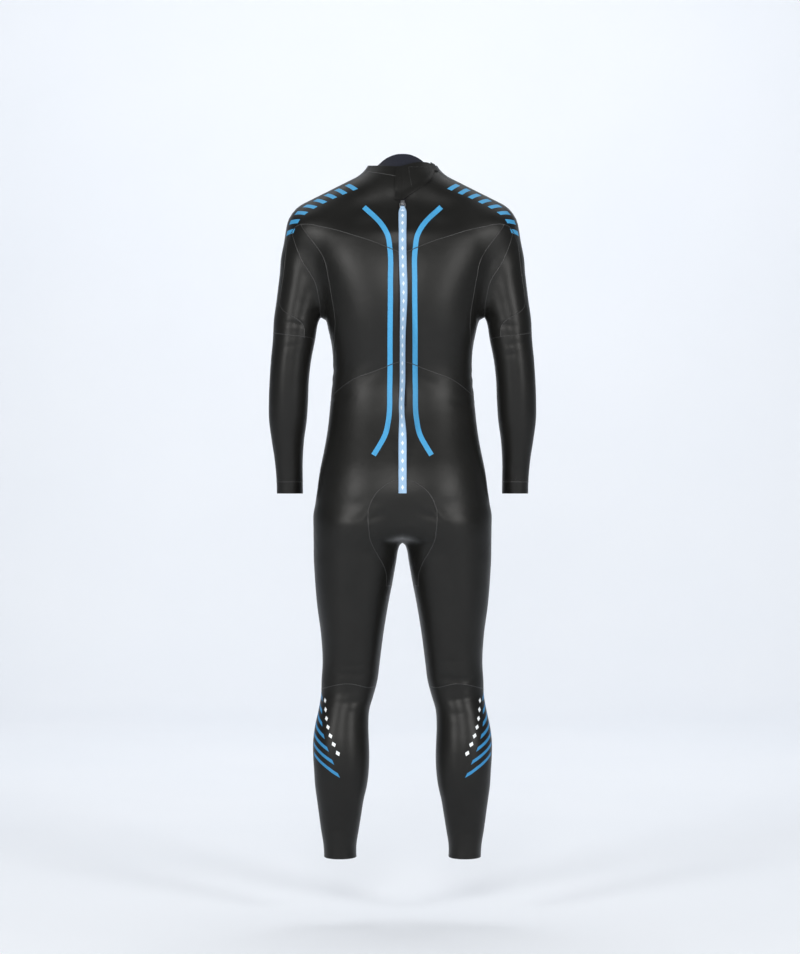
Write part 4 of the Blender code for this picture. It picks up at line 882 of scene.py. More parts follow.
def stripe_field(points, path, normals, reach):
    """Where points lie from a printed stripe's middle line, as three numbers each.

    They are how far it lies to the line's side (normal x run) and how far along it from its start, both in
    metres and going straight on past its ends, and a number that falls from 1 on the line to -1 far from it.
    """
    start, run = path[:-1], np.diff(path, axis=0)
    length = np.linalg.norm(run, axis=1)
    run = run / length[:, None]
    side = np.cross((normals[:-1] + normals[1:]) / 2, run)
    side /= np.linalg.norm(side, axis=1, keepdims=True)
    field = np.tile([0.0, 0.0, -1.0], (len(points), 1))
    near = close_to(points, path, 2 * reach)
    offset = points[near][:, None] - start
    share = (offset * run).sum(-1)
    inside = np.clip(share, 0, length)
    gap = np.linalg.norm(offset - inside[..., None] * run, axis=-1)
    nearest = gap.argmin(1)
    pick = np.arange(len(nearest)), nearest
    at_ends = ((nearest == 0) & (share[pick] < 0)) | ((nearest == len(run) - 1) & (share[pick] > length[-1]))
    before = distances(path)[nearest]
    across = (offset[pick] * side[nearest]).sum(-1)
    straight = np.sqrt(np.maximum(gap[pick] ** 2 - (offset[pick] * normals[nearest]).sum(-1) ** 2, 0))
    across = np.where(at_ends, across, np.sign(across) * straight)
    along = before + np.where(at_ends, share[pick], inside[pick])
    field[near] = np.stack([across, along, np.clip(1.5 - gap[pick] / reach, -1, 1)], -1)
    return field


def print_fields(points):
    """The fields of all the prints: the stripes beside the zip, the shoulders' bars and the calves' bars."""
    heights = np.linspace(BACK_STRIPE["height"][-1], BACK_STRIPE["height"][0], STRIPE_POINTS)
    path = np.stack([read(BACK_STRIPE, "out", heights), 0 * heights, heights], -1)
    flat = np.abs(points) * [1, 0, 1]
    back = stripe_field(flat, path, np.broadcast_to([0.0, 1.0, 0.0], path.shape), STRIPE_REACH)
    back[:, 1] = np.minimum(back[:, 1], distances(path)[-1] - back[:, 1])   # how far inside both of its ends
    back[:, 2] = np.where(points[:, 1] > 0, back[:, 2], -1)

    left = np.abs(points) * [1, 0, 0] + points * [0, 1, 1]
    share = np.linspace(0, 1, LINE_POINTS)
    rows = np.linspace(0, 1, len(SHOULDER_LINE["out"]))
    line = [curve(rows, SHOULDER_LINE[axis], share) for axis in ("out", "depth", "height")]
    path = settled(np.stack(line, -1))
    shoulder = stripe_field(left, path, outward(path), BAR_REACH)
    path = on_skin("leg", CALF_ANGLE + CALF_TURN * share, CALF_TOP + (CALF_FOOT - CALF_TOP) * share, 1)
    calf = stripe_field(left, path, outward(path), BAR_REACH)
    return {"back_stripe": back, "shoulder_bars": shoulder, "calf_bars": calf}


# ---------------------------------------------------------------- from sheets and paths to meshes
def rim_of(points, normals, cells):
    """A sheet's open edges, as pairs of point numbers with the sheet to their left, and for every point the
    step that draws it back by one from its edges."""
    sides = np.concatenate([cells[:, [i, (i + 1) % 4]] for i in range(4)])
    codes = sides[:, 0] * len(points) + sides[:, 1]
    edge = sides[~np.isin(codes, sides[:, 1] * len(points) + sides[:, 0])]
    runs = points[edge[:, 1]] - points[edge[:, 0]]
    pull = np.zeros((2,) + points.shape)
    for side, ends in enumerate((edge[:, 0], edge[:, 1])):
        inward = np.cross(normals[ends], runs)
        pull[side, ends] = inward / np.linalg.norm(inward, axis=1, keepdims=True)
    meeting = 1 + (pull[0] * pull[1]).sum(1, keepdims=True)
    return edge, (pull[0] + pull[1]) / np.maximum(meeting, MITRE_LEAST)


def wall(points, normals, cells, thickness, sink=0.0, clearance=SEAM_GAP / 2):
    """Close a sheet of cells into a wall: its outer skin, an inner skin straight below it, and its edges.

    The sheet first draws back from each of its edges by the clearance. Both skins use the form's own
    directions. Returns the points, the faces, each face's layer (0 outside, 1 inside, 2 cut edge) and the
    number of the sheet's point that each point comes from.
    """
    used, cells = np.unique(cells, return_inverse=True)
    cells = cells.reshape(-1, 4)
    points, normals = points[used], normals[used]
    edge, inward = rim_of(points, normals, cells)
    points = points + clearance * inward
    count = len(points)
    rim = np.column_stack([edge[:, 1], edge[:, 0], edge[:, 0] + count, edge[:, 1] + count])
    faces = np.concatenate([cells, cells[:, ::-1] + count, rim])
    layers = np.repeat([0, 1, 2], [len(cells), len(cells), len(rim)])
    skins = np.concatenate([points - normals * sink, points - normals * thickness])
    return skins, faces, layers, np.concatenate([used, used])


def seam_beads(points, normals, pieces):
    """Low beads of cement over every seam between two panels, from both of its sides up to a shared crest.

    The rows of a bead's profile lie at point + inward * half width * share + normal * high.
    """
    count = len(points)
    rims = {name: rim_of(points, normals, cells) for name, cells in pieces.items() if name != "zip"}
    codes = np.concatenate([edge[:, 0] * count + edge[:, 1] for edge, _ in rims.values()])
    rows, faces = [points + normals * BEAD["high"][0]], []
    for edge, inward in rims.values():
        edge = edge[np.isin(edge[:, 1] * count + edge[:, 0], codes)]
        crest = edge
        for share, high in zip(BEAD["share"][1:], BEAD["high"][1:]):
            lower = edge + count * len(rows)
            rows.append(points + inward * BEAD_HALF_WIDTH * share + normals * high)
            faces.append(np.column_stack([crest, lower[:, ::-1]]))
            crest = lower
    used, faces = np.unique(np.concatenate(faces), return_inverse=True)
    return np.concatenate(rows)[used], faces.reshape(-1, 4)


def cells_between(numbers):
    """The cells of a grid of point numbers, as rings of four."""
    return np.stack([numbers[:-1, :-1], numbers[:-1, 1:], numbers[1:, 1:], numbers[1:, :-1]], -1)


def grid_cells(shape, closed=False):
    """Four-point cells of a grid of points that is numbered row by row; a closed one's rows are rings."""
    numbers = np.arange(np.prod(shape)).reshape(shape)
    if closed:
        numbers = np.concatenate([numbers, numbers[:, :1]], 1)
    return cells_between(numbers).reshape(-1, 4)


def piece(name, points, faces, finishes, layers=None, fields=None, rounded=0.0):
    """An object with this mesh, given over the ground, in its finishes; fields are numbers on its points."""
    mesh = bpy.data.meshes.new(name)
    mesh.from_pydata((points - [0, 0, ORIGIN_HEIGHT]).tolist(), [], [list(map(int, face)) for face in faces])
    for finish in finishes:
        mesh.materials.append(finish)
    if layers is not None:
        mesh.polygons.foreach_set("material_index", layers)
    for field, values in (fields or {}).items():
        kept = mesh.attributes.new(field, "FLOAT" if values.ndim == 1 else "FLOAT_VECTOR", "POINT")
        kept.data.foreach_set("value" if values.ndim == 1 else "vector", values.astype(float).ravel())
    mesh.shade_smooth()
    made = bpy.data.objects.new(name, mesh)
    bpy.context.scene.collection.objects.link(made)
    if rounded:
        bevel = made.modifiers.new("rounded edges", "BEVEL")
        bevel.width, bevel.segments, bevel.limit_method = rounded, ROUNDING_STEPS, "ANGLE"
        bevel.angle_limit, bevel.harden_normals = np.radians(ROUNDING_ANGLE), True
    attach(made, "root")
    return made


def thread(paths, normals, radius):
    """Round threads along equally long paths, with two rounded-off ends.

    A circle of this radius is carried along each path, square to it, and shrinks to a point past both ends.
    Returns the points and faces of all of them together.
    """
    paths, normals = np.atleast_3d(paths), np.broadcast_to(normals, paths.shape)
    run = np.gradient(paths, axis=1)
    run /= np.linalg.norm(run, axis=2, keepdims=True)
    across = np.cross(run, normals)
    across /= np.linalg.norm(across, axis=2, keepdims=True)
    upward = np.cross(across, run)
    turn = 2 * np.pi * np.arange(THREAD_SIDES) / THREAD_SIDES
    ring = (np.cos(turn)[:, None] * across[..., None, :] + np.sin(turn)[:, None] * upward[..., None, :])
    size = np.full(paths.shape[1], radius)
    size[[0, -1]] = radius * THREAD_TIP
    grid = paths[:, :, None] + ring * size[:, None, None]
    count, rows = paths.shape[:2]
    cells = grid_cells((rows, THREAD_SIDES), closed=True)[:, ::-1]
    faces = (cells + np.arange(count)[:, None, None] * rows * THREAD_SIDES).reshape(-1, 4).tolist()
    starts = np.arange(count)[:, None] * rows * THREAD_SIDES + np.arange(THREAD_SIDES)
    faces += starts.tolist() + (starts[:, ::-1] + (rows - 1) * THREAD_SIDES).tolist()
    return grid.reshape(-1, 3), faces


def stitches(path, normals, pitch, reach, radius, lift, swing):
    """Separate stitches along a path: each dips into the cloth at both ends and stands up between them.

    Stitch after stitch starts one pitch on, is as long as the reach, and with a swing it slants from one side
    of the path to the other in turn.
    """
    length = distances(path)
    count = int(length[-1] / pitch)
    begin = (np.arange(count) + 0.5 * (length[-1] / pitch - count)) * pitch
    share = np.linspace(0, 1, STITCH_POINTS)
    at = begin[:, None] + reach * share
    place, out = along_path(at, length, path), along_path(at, length, normals)
    run = along_path(at + STITCH_STEP, length, path) - along_path(at - STITCH_STEP, length, path)
    side = np.cross(out, run)
    side /= np.linalg.norm(side, axis=2, keepdims=True)
    slant = swing * (2 * share - 1) * np.where(np.arange(count) % 2, 1, -1)[:, None]
    high = lift * np.sin(np.pi * share) - SUNK_SHARE * radius
    place = place + side * slant[..., None] + out * high[:, None]
    return thread(place, out, radius)


# ---------------------------------------------------------------- shader maths
class Value:
    """A shader socket that takes part in sums; each operator adds its own Math node."""

    def __init__(self, finish, socket):
        self.finish, self.socket = finish, socket

    def sum_of(self, operation, *parts, clamp=False):
        settings = {"operation": operation, "use_clamp": clamp}
        return self.finish.node("ShaderNodeMath", settings, dict(enumerate(parts)))

    def __add__(self, other):
        return self.sum_of("ADD", self, other)

    def __mul__(self, other):
        return self.sum_of("MULTIPLY", self, other)

    def __sub__(self, other):
        return self.sum_of("SUBTRACT", self, other)

    def __rsub__(self, other):
        return self.sum_of("SUBTRACT", other, self)

    def __truediv__(self, other):
        return self.sum_of("DIVIDE", self, other)

    def __abs__(self):
        return self.sum_of("ABSOLUTE", self)

    __radd__, __rmul__ = __add__, __mul__

    def clamped(self):
        return self.sum_of("ADD", self, 0.0, clamp=True)

    def least(self, other):
        return self.sum_of("MINIMUM", self, other)

    def most(self, other):
        return self.sum_of("MAXIMUM", self, other)

    def wave(self, pitch):
        """From 0 to 1 and back over each pitch of this value."""
        return self.sum_of("PINGPONG", self * (2 / pitch), 1.0)

    def from_multiple(self, pitch):
        """How far this value is from the nearest multiple of the pitch."""
        return self.sum_of("PINGPONG", self, pitch / 2)

    def least_of(self, *others):
        """The smallest of several values."""
        least = self
        for other in others:
            least = least.least(other)
        return least


class Finish:
    """A material in the making: its nodes, and the Principled shader that they end in."""

    def __init__(self, name, **constants):
        self.material = bpy.data.materials.new(name)
        self.material.use_nodes = True
        self.tree = self.material.node_tree
        self.shader = self.tree.nodes["Principled BSDF"]
        for socket, value in constants.items():
            self.shader.inputs[socket.replace("_", " ")].default_value = value

    def node(self, kind, settings, inputs, output=0):
        """Any node, from its type, its settings, and the numbers or links of its sockets."""
        made = self.tree.nodes.new(kind)
        for name, value in settings.items():
            setattr(made, name, value)
        for socket, value in inputs.items():
            if isinstance(value, Value):
                self.tree.links.new(value.socket, made.inputs[socket])
            else:
                made.inputs[socket].default_value = value
        return Value(self, made.outputs[output])

    def place(self):
        """The object's own coordinates, in metres."""
        return self.node("ShaderNodeTexCoord", {}, {}, "Object")

    def field(self, name, output="Fac"):
        """Numbers that are kept on the piece's points."""
        return self.node("ShaderNodeAttribute", {"attribute_name": name}, {}, output)

    def parts(self, vector):
        """The three parts of a vector."""
        split = self.node("ShaderNodeSeparateXYZ", {}, {0: vector}).socket.node
        return [Value(self, socket) for socket in split.outputs]

    def noise(self, size, detail=2.0, at=None):
        """Cloudy noise from 0 to 1 whose clouds are about this size."""
        inputs = {"Vector": at or self.place(), "Scale": 1 / size, "Detail": detail}
        return self.node("ShaderNodeTexNoise", {}, inputs)

    def mix(self, share, first, second):
        """One colour running into another."""
        return self.node("ShaderNodeMix", {"data_type": "RGBA"}, {0: share, 6: first, 7: second}, 2)

    def shades(self, **links):
        """Links that vary over the surface: Base_Color, Roughness or Metallic."""
        for socket, value in links.items():
            self.tree.links.new(value.socket, self.shader.inputs[socket.replace("_", " ")])

    def raised(self, *heights):
        """Relief in metres, one Bump node over another."""
        normal = None
        for height, depth in heights:
            inputs = {"Height": height, "Distance": depth, "Strength": 1.0}
            if normal:
                inputs["Normal"] = normal
            normal = self.node("ShaderNodeBump", {}, inputs)
        self.tree.links.new(normal.socket, self.shader.inputs["Normal"])


# ---------------------------------------------------------------- finishes
def printed(finish, name):
    """A print's field: to the side of its middle line, along it, and how surely it is this print's place."""
    across, along, place = finish.parts(finish.field(name, "Vector"))
    return across, along, (place - NEAR_LEAST) * NEAR_SCALE


def bars(finish, name, pitch, half, band, spread, slant, first, last):
    """How far inside the ink of a row of slanted bars, whose band may spread; outside it is negative."""
    across, along, near = printed(finish, name)
    slanted = along + across * slant
    inside_band = band + along * spread - abs(across)
    return (half - slanted.from_multiple(pitch)).least_of(inside_band, slanted - first, last - slanted, near)


def smooth_skin():
    """Satin smooth-skin neoprene with fine pores and soft clouds, and the inks printed on it."""
    finish = Finish("smooth_skin_neoprene", Specular_IOR_Level=SKIN_GLOSS)
    clouds = finish.noise(0.055, 3.0)
    drifts = finish.noise(0.22, 2.0)
    pores = finish.noise(0.00055, 2.0)
    across, inside_ends, near = printed(finish, "back_stripe")
    stripe = (BACK_STRIPE_HALF - abs(across)).least_of(inside_ends, near)
    shoulder = bars(finish, "shoulder_bars", *SHOULDER_BARS)
    calf = bars(finish, "calf_bars", *CALF_BARS)
    across, along, near = printed(finish, "calf_bars")
    aside = abs(across - WHITE_SIDE - along * WHITE_SLOPE) / WHITE_HALF_WIDTH
    diamond = (1.0 - aside - along.from_multiple(WHITE_PITCH) / WHITE_HALF_LENGTH) * (WHITE_HALF_WIDTH * 0.8)
    diamonds = diamond.least_of(along - WHITE_FROM, WHITE_TO - along, near)
    ink = (stripe.most(shoulder) * (1 / INK_EDGE) + 0.5).clamped()
    calf_ink = (calf * (1 / INK_EDGE) + 0.5).clamped()
    white = (diamonds * (1 / INK_EDGE) + 0.5).clamped()
    rubber = finish.mix(clouds * 0.6 + drifts * 0.4, SKIN_DARK, SKIN_LIGHT)
    wear = (finish.noise(0.004, 4.0) * 1.6 - 0.55).clamped()
    skin = finish.mix(ink, rubber, finish.mix(wear * 0.5, BLUE_DEEP, BLUE_FULL))
    skin = finish.mix(calf_ink, skin, finish.mix(wear * 0.5, CALF_DEEP, CALF_FULL))
    covered = ink.most(white.most(calf_ink))
    finish.shades(Base_Color=finish.mix(white, skin, WHITE_INK),
                  Roughness=SKIN_ROUGH + clouds * 0.10 + drifts * 0.06 + covered * 0.04)
    finish.raised((pores, 0.00004), (clouds, 0.0010), (covered, 0.00006))
    return finish.material


def cut_edge(name, dark, light):
    """The foam at a panel's cut edge: matt, with open cells. Its two colours hold painted light: lighter on
    the panels as a painted seam highlight, near black on the flap as painted shadow.
    """
    finish = Finish(name, Specular_IOR_Level=0.25)
    cells = finish.noise(0.0006, 3.0)
    finish.shades(Base_Color=finish.mix(cells, dark, light), Roughness=0.72 + cells * 0.2)
    finish.raised((cells, 0.0002))
    return finish.material


def knit(name, dark, light):
    """The lining: a fine jersey with upright ribs of loops, on the piece's own grid of metres. Its colour
    holds random fluff and painted shade, darker between the raised ribs and loops.
    """
    finish = Finish(name, Sheen_Weight=0.25, Specular_IOR_Level=0.2)
    across, depth, height = finish.parts(finish.place())
    ribs = (across + depth).wave(0.0011)
    loops = (height + ribs * 0.0004).wave(0.0008)
    fluff = finish.noise(0.0012, 4.0)
    relief = ribs * 0.6 + loops * 0.4
    # Painted shade: the colour follows the ribs' and loops' relief, darker in the hollows, with random fluff
    # over it.
    knit_tone_and_shade = finish.mix(relief * 0.6 + fluff * 0.4, dark, light)
    finish.shades(Base_Color=knit_tone_and_shade, Roughness=0.82 + fluff * 0.14)
    finish.raised((relief, 0.00020), (fluff, 0.0001))
    return finish.material


def webbing():
    """The leash: tightly woven ribbon with a row of small white diamonds; its grid is in metres."""
    finish = Finish("leash_webbing", Sheen_Weight=0.2, Specular_IOR_Level=0.35)
    across, along, _ = finish.parts(finish.field("ribbon", "Vector"))
    ribs = along.wave(RIB_PITCH)
    yarns = (across + ribs * 0.0001).wave(YARN_PITCH)
    weave = ribs * 0.65 + yarns * 0.35
    lengthways = along.from_multiple(DIAMOND_PITCH) / DIAMOND_HALF_LENGTH
    diamond = 1.0 - abs(across) / DIAMOND_HALF_WIDTH - lengthways
    white = (diamond * 14.0 + 0.5).clamped()
    border = ((abs(across) - BORDER_FROM) * (1 / INK_EDGE)).clamped()
    patches = finish.noise(0.030, 2.0)
    blue = finish.mix(patches, RIBBON_BLUE, RIBBON_GREY)
    plain = finish.mix(border * 0.6, blue, RIBBON_EDGE)
    woven = finish.mix(white, plain, RIBBON_WHITE)
    # Painted shade: where the weave's ribs and yarns lie low, the colour is darkened towards a shadowed blue.
    shaded = finish.mix((1.0 - weave) * 0.45, woven, RIBBON_PAINTED_SHADE)
    finish.shades(Base_Color=shaded, Roughness=0.62 + weave * 0.16)
    finish.raised((weave, 0.00022))
    return finish.material


def zip_cloth():
    """The zip's woven tape, with its close diagonal lines in relief, painted darker between them as painted
    shade.
    """
    finish = Finish("zip_tape", Specular_IOR_Level=0.3)
    across, _, height = finish.parts(finish.place())
    lines = (height + across * 0.8).wave(0.0007)
    # Painted shade: the tape is darker between its raised diagonal lines and lighter on them.
    finish.shades(Base_Color=finish.mix(lines, TAPE_DARK, TAPE_LIGHT), Roughness=0.65 + lines * 0.2)
    finish.raised((lines, 0.00015))
    return finish.material


def moulded(name, dark, light, rough):
    """Nylon that came out of a mould: nearly even, with faint flow marks."""
    finish = Finish(name, Specular_IOR_Level=0.5)
    flow = finish.noise(0.0015, 3.0)
    finish.shades(Base_Color=finish.mix(flow, dark, light), Roughness=rough + flow * 0.15)
    finish.raised((flow, 0.00004))
    return finish.material


def sewing(name, dark, light):
    """Twisted polyester thread."""
    finish = Finish(name, Sheen_Weight=0.2, Specular_IOR_Level=0.4)
    twist = finish.noise(0.0004, 2.0)
    finish.shades(Base_Color=finish.mix(twist, dark, light), Roughness=0.55 + twist * 0.25)
    finish.raised((twist, 0.0001))
    return finish.material


def plated():
    """Plated metal that hands have dulled, with fine scratches."""
    finish = Finish("plated_metal", Metallic=1.0)
    scratches = finish.noise(0.0010, 5.0)
    dull = finish.noise(0.004, 2.0)
    finish.shades(Base_Color=finish.mix(dull, METAL_DARK, METAL_LIGHT),
                  Roughness=0.22 + scratches * 0.16 + dull * 0.10)
    finish.raised((scratches, 0.00003))
    return finish.material


def studio_paint():
    """The floor's plain pale paint."""
    finish = Finish("studio_floor", Specular_IOR_Level=0.1, Roughness=0.9)
    patches = finish.noise(0.6, 2.0)
    finish.shades(Base_Color=finish.mix(patches, FLOOR_PALE, FLOOR_PALER))
    return finish.material


# ---------------------------------------------------------------- the pieces
def panels():
    """Every panel that is cut from neoprene, with its creases and prints, and the zip's tape."""
    points, pieces = suit_net(FINE)
    normals = outward(points)
    prints = print_fields(points)
    lifted = points + normals * crease_lift(points)[:, None]
    for name, cells in pieces.items():
        part = name.split("_")[0]
        thickness = SLEEVE_WALL if part in THIN_PARTS else BODY_WALL
        sink = ZIP_SINK if part == "zip" else 0.0
        skins, faces, layers, source = wall(lifted, normals, cells, thickness, sink)
        if part == "zip":
            finishes, fields, rounded = [ZIP_CLOTH] * 3, {}, 0.0
        else:
            finishes = [SMOOTH_SKIN, LINING_KNIT, CUT_EDGE_AND_HIGHLIGHT]
            fields = {print_name: field[source] for print_name, field in prints.items()}
            rounded = HEM_ROUND if part in ("cuff", "collar") else SEAM_ROUND
        made = piece(f"{name}_panel", skins, faces, finishes, layers, fields, rounded)
        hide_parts(name)
        "zip" if part == "zip" else "neoprene"
    beads = piece("seam_beads", *seam_beads(lifted, normals, pieces), [SEAM_CEMENT])


def lying_net(outline, columns, rows, lift):
    """A grid that follows the neck between an outline's top and bottom, this far off the form.

    Returns the grid of points and the directions straight out of the form.
    """
    turn = np.linspace(outline["round"][0], outline["round"][-1], columns + 1)
    top, bottom = read(outline, "top", turn), read(outline, "bottom", turn)
    height = top + (bottom - top) * np.linspace(0, 1, rows + 1)[:, None]
    points = level_ring(NECK, height, np.broadcast_to(turn, height.shape), NECK_RAY)
    normals = outward(points)
    return points + normals * lift, normals


def lying_piece(name, net, normals, finishes, rounded):
    """The wall of a trim that lies round the neck, from the grid of its outer skin."""
    skins, faces, layers, _ = wall(net.reshape(-1, 3), normals.reshape(-1, 3), grid_cells(net.shape[:2]),
                                   TRIM_WALL, clearance=0)
    return piece(name, skins, faces, finishes, layers if len(finishes) > 1 else None, rounded=rounded)


def closure():
    """The flap that crosses the zip's top with its stitching, the hook tape's corner and the guard inside."""
    net, normals = lying_net(FLAP, *FLAP_CELLS, TRIM_LIFT)
    hanging = ease((np.linspace(0, 1, len(net)) - FLAP_EDGE_FROM) / (1 - FLAP_EDGE_FROM))[:, None, None]
    net = net + normals * FLAP_EDGE_LIFT * hanging
    # The flap's cut edges take the near-black foam, which is painted shadow.
    flap = lying_piece("flap_panel", net, normals, [SMOOTH_SKIN, LINING_KNIT, FLAP_FOAM_SHADOW], SEAM_ROUND)
    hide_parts("flap")

    lying = lying_net(GUARD, *GUARD_CELLS, GUARD_LIFT)
    guard = lying_piece("neck_guard_panel", *lying, [GUARD_KNIT], HEM_ROUND)
    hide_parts("neck_guard")

    lying = lying_net(HOOK_TAPE, *TAPE_CELLS, TRIM_LIFT)
    tape = lying_piece("hook_tape_corner", *lying, [HOOK_NYLON], TAPE_ROUND)
    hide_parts("hook_tape")

    runs = []
    for outline in (HOOK_PATCH, FLAP_EDGE):
        share = np.linspace(0, 1, OUTLINE_POINTS)
        corners = np.linspace(0, 1, len(outline["round"]))
        turn, height = (np.interp(share, corners, outline[column]) for column in ("round", "height"))
        path = level_ring(NECK, height, turn, NECK_RAY)
        out = outward(path)
        runs.append(stitches(path + out * TRIM_LIFT, out, *PATCH_STITCH))
    made = piece("flap_stitches", *joined_pieces(runs), [BLACK_THREAD])


def joined_pieces(runs):
    """Several lots of points and faces as one."""
    points, faces, count = [], [], 0
    for some, sides in runs:
        points.append(some)
        faces += [[count + corner for corner in side] for side in sides]
        count += len(some)
    return np.concatenate(points), faces


def back_line(height):
    """Points of the form at the centre back."""
    start = np.zeros(height.shape + (3,))
    start[..., 1], start[..., 2] = BACK_RAY_FROM, height
    return reached(start, np.array([0, 1.0, 0]), BACK_RAY)


def zip_coils():
    """The closed zip: two flattened coils of nylon, side by side, whose turns mesh.

    Each coil is a helix whose round is an ellipse, wider across the zip than it is thick.
    """
    top, foot = COIL_ENDS
    rough = np.linspace(0, 1, COIL_GUIDES)
    guide = back_line(top + (foot - top) * rough)
    turns = round((top - foot) / COIL_PITCH)
    share = np.linspace(0, 1, turns * COIL_STEPS + 1)
    line, out = along_path(share, rough, guide), along_path(share, rough, outward(guide))
    coils = []
    for side in (1, -1):
        turn = 2 * np.pi * turns * share + (0 if side > 0 else np.pi)
        across = side * (COIL_OFFSET + COIL_HALF_WIDTH * np.cos(turn))
        high = -ZIP_SINK - COIL_SUNK + COIL_HALF_THICK * (1 + np.sin(turn))
        path = line + across[:, None] * [1, 0, 0] + high[:, None] * out
        coils.append(thread(path[None], out[None], COIL_RADIUS))
    made = piece("zip_coils", *joined_pieces(coils), [COIL_NYLON])


def leash_turn(height):
    """How far the webbing is turned about its own length, in radians."""
    turns = sum(turn * ease((below - height) / drop) for turn, below, drop in zip(*TURNS.values()))
    return np.radians(turns) * ease((height - FLAT_HEIGHT) / FLAT_RISE)


def leash_path():
    """The leash's centreline over the ground, from its folded end over the ring's bar and down the back."""
    place = back_line(np.array([SLIDER_HEIGHT]))
    out = outward(place)[0]
    place, down = place[0], np.array([0, out[2], -out[1]])
    below = back_line(np.array([(place + down * (RING_HANG + RING_LENGTH))[2]]))
    bar = (below + outward(below) * (LEASH_LIFT + LEASH_WALL + SEAM_GAP + WIRE_RADIUS))[0]
    round_bar = WIRE_RADIUS + SEAM_GAP + LEASH_WALL / 2
    fold = [bar + out * (round_bar + BAR_PLAY) + down * along
            for along in np.linspace(LEASH_FOLD, FOLD_START, FOLD_POINTS)]
    fold += [bar + round_bar * (np.cos(turn) * out - np.sin(turn) * down)
             for turn in np.radians(np.linspace(0, 180, TURN_POINTS))]
    heights = np.linspace(bar[2] - LEASH_BELOW_BAR, LEASH_END_HEIGHT, HANG_POINTS)
    lying_on = back_line(heights)
    depth = lying_on[:, 1] + (LEASH_LIFT + LEASH_WALL / 2) / outward(lying_on)[:, 1]
    depth = depth + LEASH_WIDTH["width"][-1] / 2 * np.sin(leash_turn(heights))
    span = (heights[:, None, None] - heights[None, :, None]) / (
        heights[None, None, :] - heights[None, :, None] + 1e-12)
    straight = depth[None, :, None] + (depth[None, None, :] - depth[None, :, None]) * span
    taut = np.where((span >= 0) & (span <= 1), straight, -1).max((1, 2))
    finer = np.linspace(heights[0], heights[-1], LINE_STEPS)
    sway = sum(reach * np.exp(-((finer - middle) / spread) ** 2) for reach, middle, spread
               in zip(*LEASH_SWAY.values()))
    hanging = np.column_stack([sway, np.interp(-finer, -heights, taut), finer])
    return np.concatenate([fold, hanging])


def leash():
    """The webbing leash: a flat strip that is carried along its line, turned partly edge on as it hangs."""
    path = leash_path()
    along = distances(path)
    half = read(LEASH_WIDTH, "width", along) / 2
    run = np.gradient(path, axis=0)
    run /= np.linalg.norm(run, axis=1, keepdims=True)
    turn = leash_turn(path[:, 2])[:, None]
    face = np.cross(run, [1.0, 0, 0])
    side = np.array([1.0, 0, 0]) * np.cos(turn) + face * np.sin(turn)
    face = np.cross(run, side)
    across = np.linspace(-1, 1, LEASH_STRIPS + 1)
    sheet = path[:, None] + side[:, None] * (half[:, None] * across)[..., None]
    normals = np.broadcast_to(face[:, None], sheet.shape)
    cells = grid_cells(sheet.shape[:2])[:, ::-1]
    flat = (sheet + normals * LEASH_WALL / 2).reshape(-1, 3)
    skins, faces, layers, source = wall(flat, normals.reshape(-1, 3), cells, LEASH_WALL, clearance=0)
    grid = np.stack([half[:, None] * across, np.broadcast_to(along[:, None], sheet.shape[:2]),
                     np.zeros(sheet.shape[:2])], -1).reshape(-1, 3)
    ribbon = piece("leash_webbing", skins, faces, [WEBBING], fields={"ribbon": grid[source]},
                   rounded=LEASH_ROUND)
    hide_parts("leash")

    # Two bar tacks sew the folded end down: close zigzag rows across the ribbon.
    tacks = []
    for place in LEASH_TACKS:
        row = np.searchsorted(along, place)
        width = half[row] * TACK_SHARE
        ends = path[row] + side[row] * np.array([[-width], [width]])
        lift = face[row] * LEASH_WALL / 2
        line = ends[0] + (ends[1] - ends[0]) * np.linspace(0, 1, TACK_POINTS)[:, None] + lift
        outs = np.broadcast_to(face[row], line.shape)
        tacks.append(stitches(line, outs, *TACK_STITCH))
    made = piece("leash_tacks", *joined_pieces(tacks), [WHITE_THREAD])


def cuff_stitches():
    """A row of small stitches round each cuff, just over its seam."""
    turn = np.linspace(-90, 270, 240)
    for side, letter in ((1, "l"), (-1, "r")):
        path = on_skin("arm", turn, np.full_like(turn, CUFF_SEAM_HEIGHT + CUFF_STITCH_RISE), side)
        sewn = stitches(path, outward(path), *CUFF_STITCH)
        made = piece(f"cuff_stitches_{letter}", *sewn, [BLACK_THREAD])


def fittings():
    """The slider and its ring stay as the frame has them, in plated metal."""
    for name in ("slider", "ring"):
        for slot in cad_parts[name].material_slots:
            slot.material = PLATED


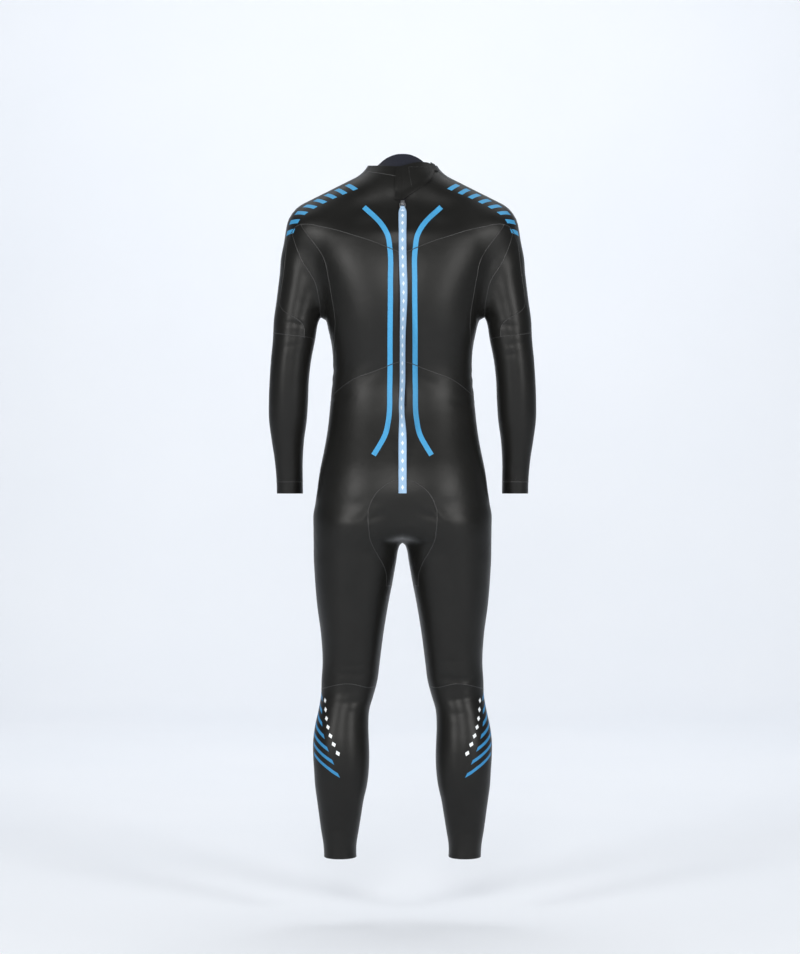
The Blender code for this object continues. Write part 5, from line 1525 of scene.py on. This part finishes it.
# ---------------------------------------------------------------- studio
def studio():
    """A pale floor that curves up into a wall, soft lights and the camera straight behind the back."""
    turn = np.linspace(0, np.pi / 2, 25)[1:]
    along = np.concatenate([[FLOOR_NEAR, FLOOR_BEND], FLOOR_BEND - BEND_RADIUS * np.sin(turn), [FLOOR_FAR]])
    high = np.concatenate([[0, 0], BEND_RADIUS * (1 - np.cos(turn)), [WALL_HEIGHT]])
    across = np.linspace(-FLOOR_HALF, FLOOR_HALF, 9)
    grid = np.stack(np.broadcast_arrays(across[:, None], along, high), -1)
    mesh = bpy.data.meshes.new("studio_floor")
    mesh.from_pydata((grid.reshape(-1, 3) - [0, 0, ORIGIN_HEIGHT]).tolist(), [],
                     grid_cells(grid.shape[:2])[:, ::-1].tolist())
    mesh.materials.append(FLOOR_PAINT)
    mesh.shade_smooth()
    floor = bpy.data.objects.new("studio_floor", mesh)
    bpy.context.scene.collection.objects.link(floor)

    for name, place, aim, size, spread, power, tint in LIGHTS:
        lamp = bpy.data.lights.new(name, "AREA")
        lamp.shape, lamp.size, lamp.size_y = "RECTANGLE", *size
        lamp.spread, lamp.energy, lamp.color = np.radians(spread), power, tint
        lamp_object = bpy.data.objects.new(name, lamp)
        lamp_object.location = place
        towards = mathutils.Vector(aim) - mathutils.Vector(place)
        lamp_object.rotation_euler = towards.to_track_quat("-Z", "Y").to_euler()
        bpy.context.scene.collection.objects.link(lamp_object)

    world = bpy.data.worlds.new("studio")
    world.use_nodes = True
    background = world.node_tree.nodes["Background"]
    background.inputs["Color"].default_value = WORLD_COLOUR
    background.inputs["Strength"].default_value = WORLD_STRENGTH
    bpy.context.scene.world = world
    bpy.context.scene.view_settings.view_transform = "Standard"

    camera = bpy.data.cameras.new("camera")
    camera.lens, camera.sensor_width, camera.sensor_fit = CAMERA_LENS, 36.0, "AUTO"
    seat = bpy.data.objects.new("camera", camera)
    seat.location = (CAMERA_ACROSS, CAMERA_DISTANCE, CAMERA_HEIGHT - ORIGIN_HEIGHT)
    seat.rotation_euler = (np.pi / 2, 0, np.pi)
    bpy.context.scene.collection.objects.link(seat)
    bpy.context.scene.camera = seat


SMOOTH_SKIN = smooth_skin()
# The panels' cut edges are foam, lightened as a painted highlight along the seams.
CUT_EDGE_AND_HIGHLIGHT = cut_edge("cut_foam_edge_and_highlight", colour(30, 30, 30), colour(62, 62, 61))
# The flap's cut edges are near black as painted shadow, for the dark gap under the flap's lower edge.
FLAP_FOAM_SHADOW = cut_edge("flap_foam_edge_painted_shadow", colour(6, 6, 6), colour(14, 14, 14))
LINING_KNIT = knit("inner_jersey", colour(28, 30, 36), colour(62, 64, 70))
GUARD_KNIT = knit("neck_guard_jersey", colour(12, 13, 20), colour(34, 37, 50))
WEBBING = webbing()
ZIP_CLOTH = zip_cloth()
COIL_NYLON = moulded("zip_coil_nylon", colour(14, 14, 16), colour(30, 30, 33), 0.35)
HOOK_NYLON = moulded("hook_tape_nylon", colour(12, 12, 13), colour(28, 28, 29), 0.6)
BLACK_THREAD = sewing("black_thread", colour(5, 5, 6), colour(16, 16, 17))
WHITE_THREAD = sewing("white_thread", colour(150, 185, 215), colour(225, 235, 243))
PLATED = plated()
SEAM_CEMENT = moulded("seam_cement", colour(18, 18, 18), colour(40, 40, 39), 0.34)
FLOOR_PAINT = studio_paint()
panels()
closure()
zip_coils()
leash()
cuff_stitches()
fittings()
studio()
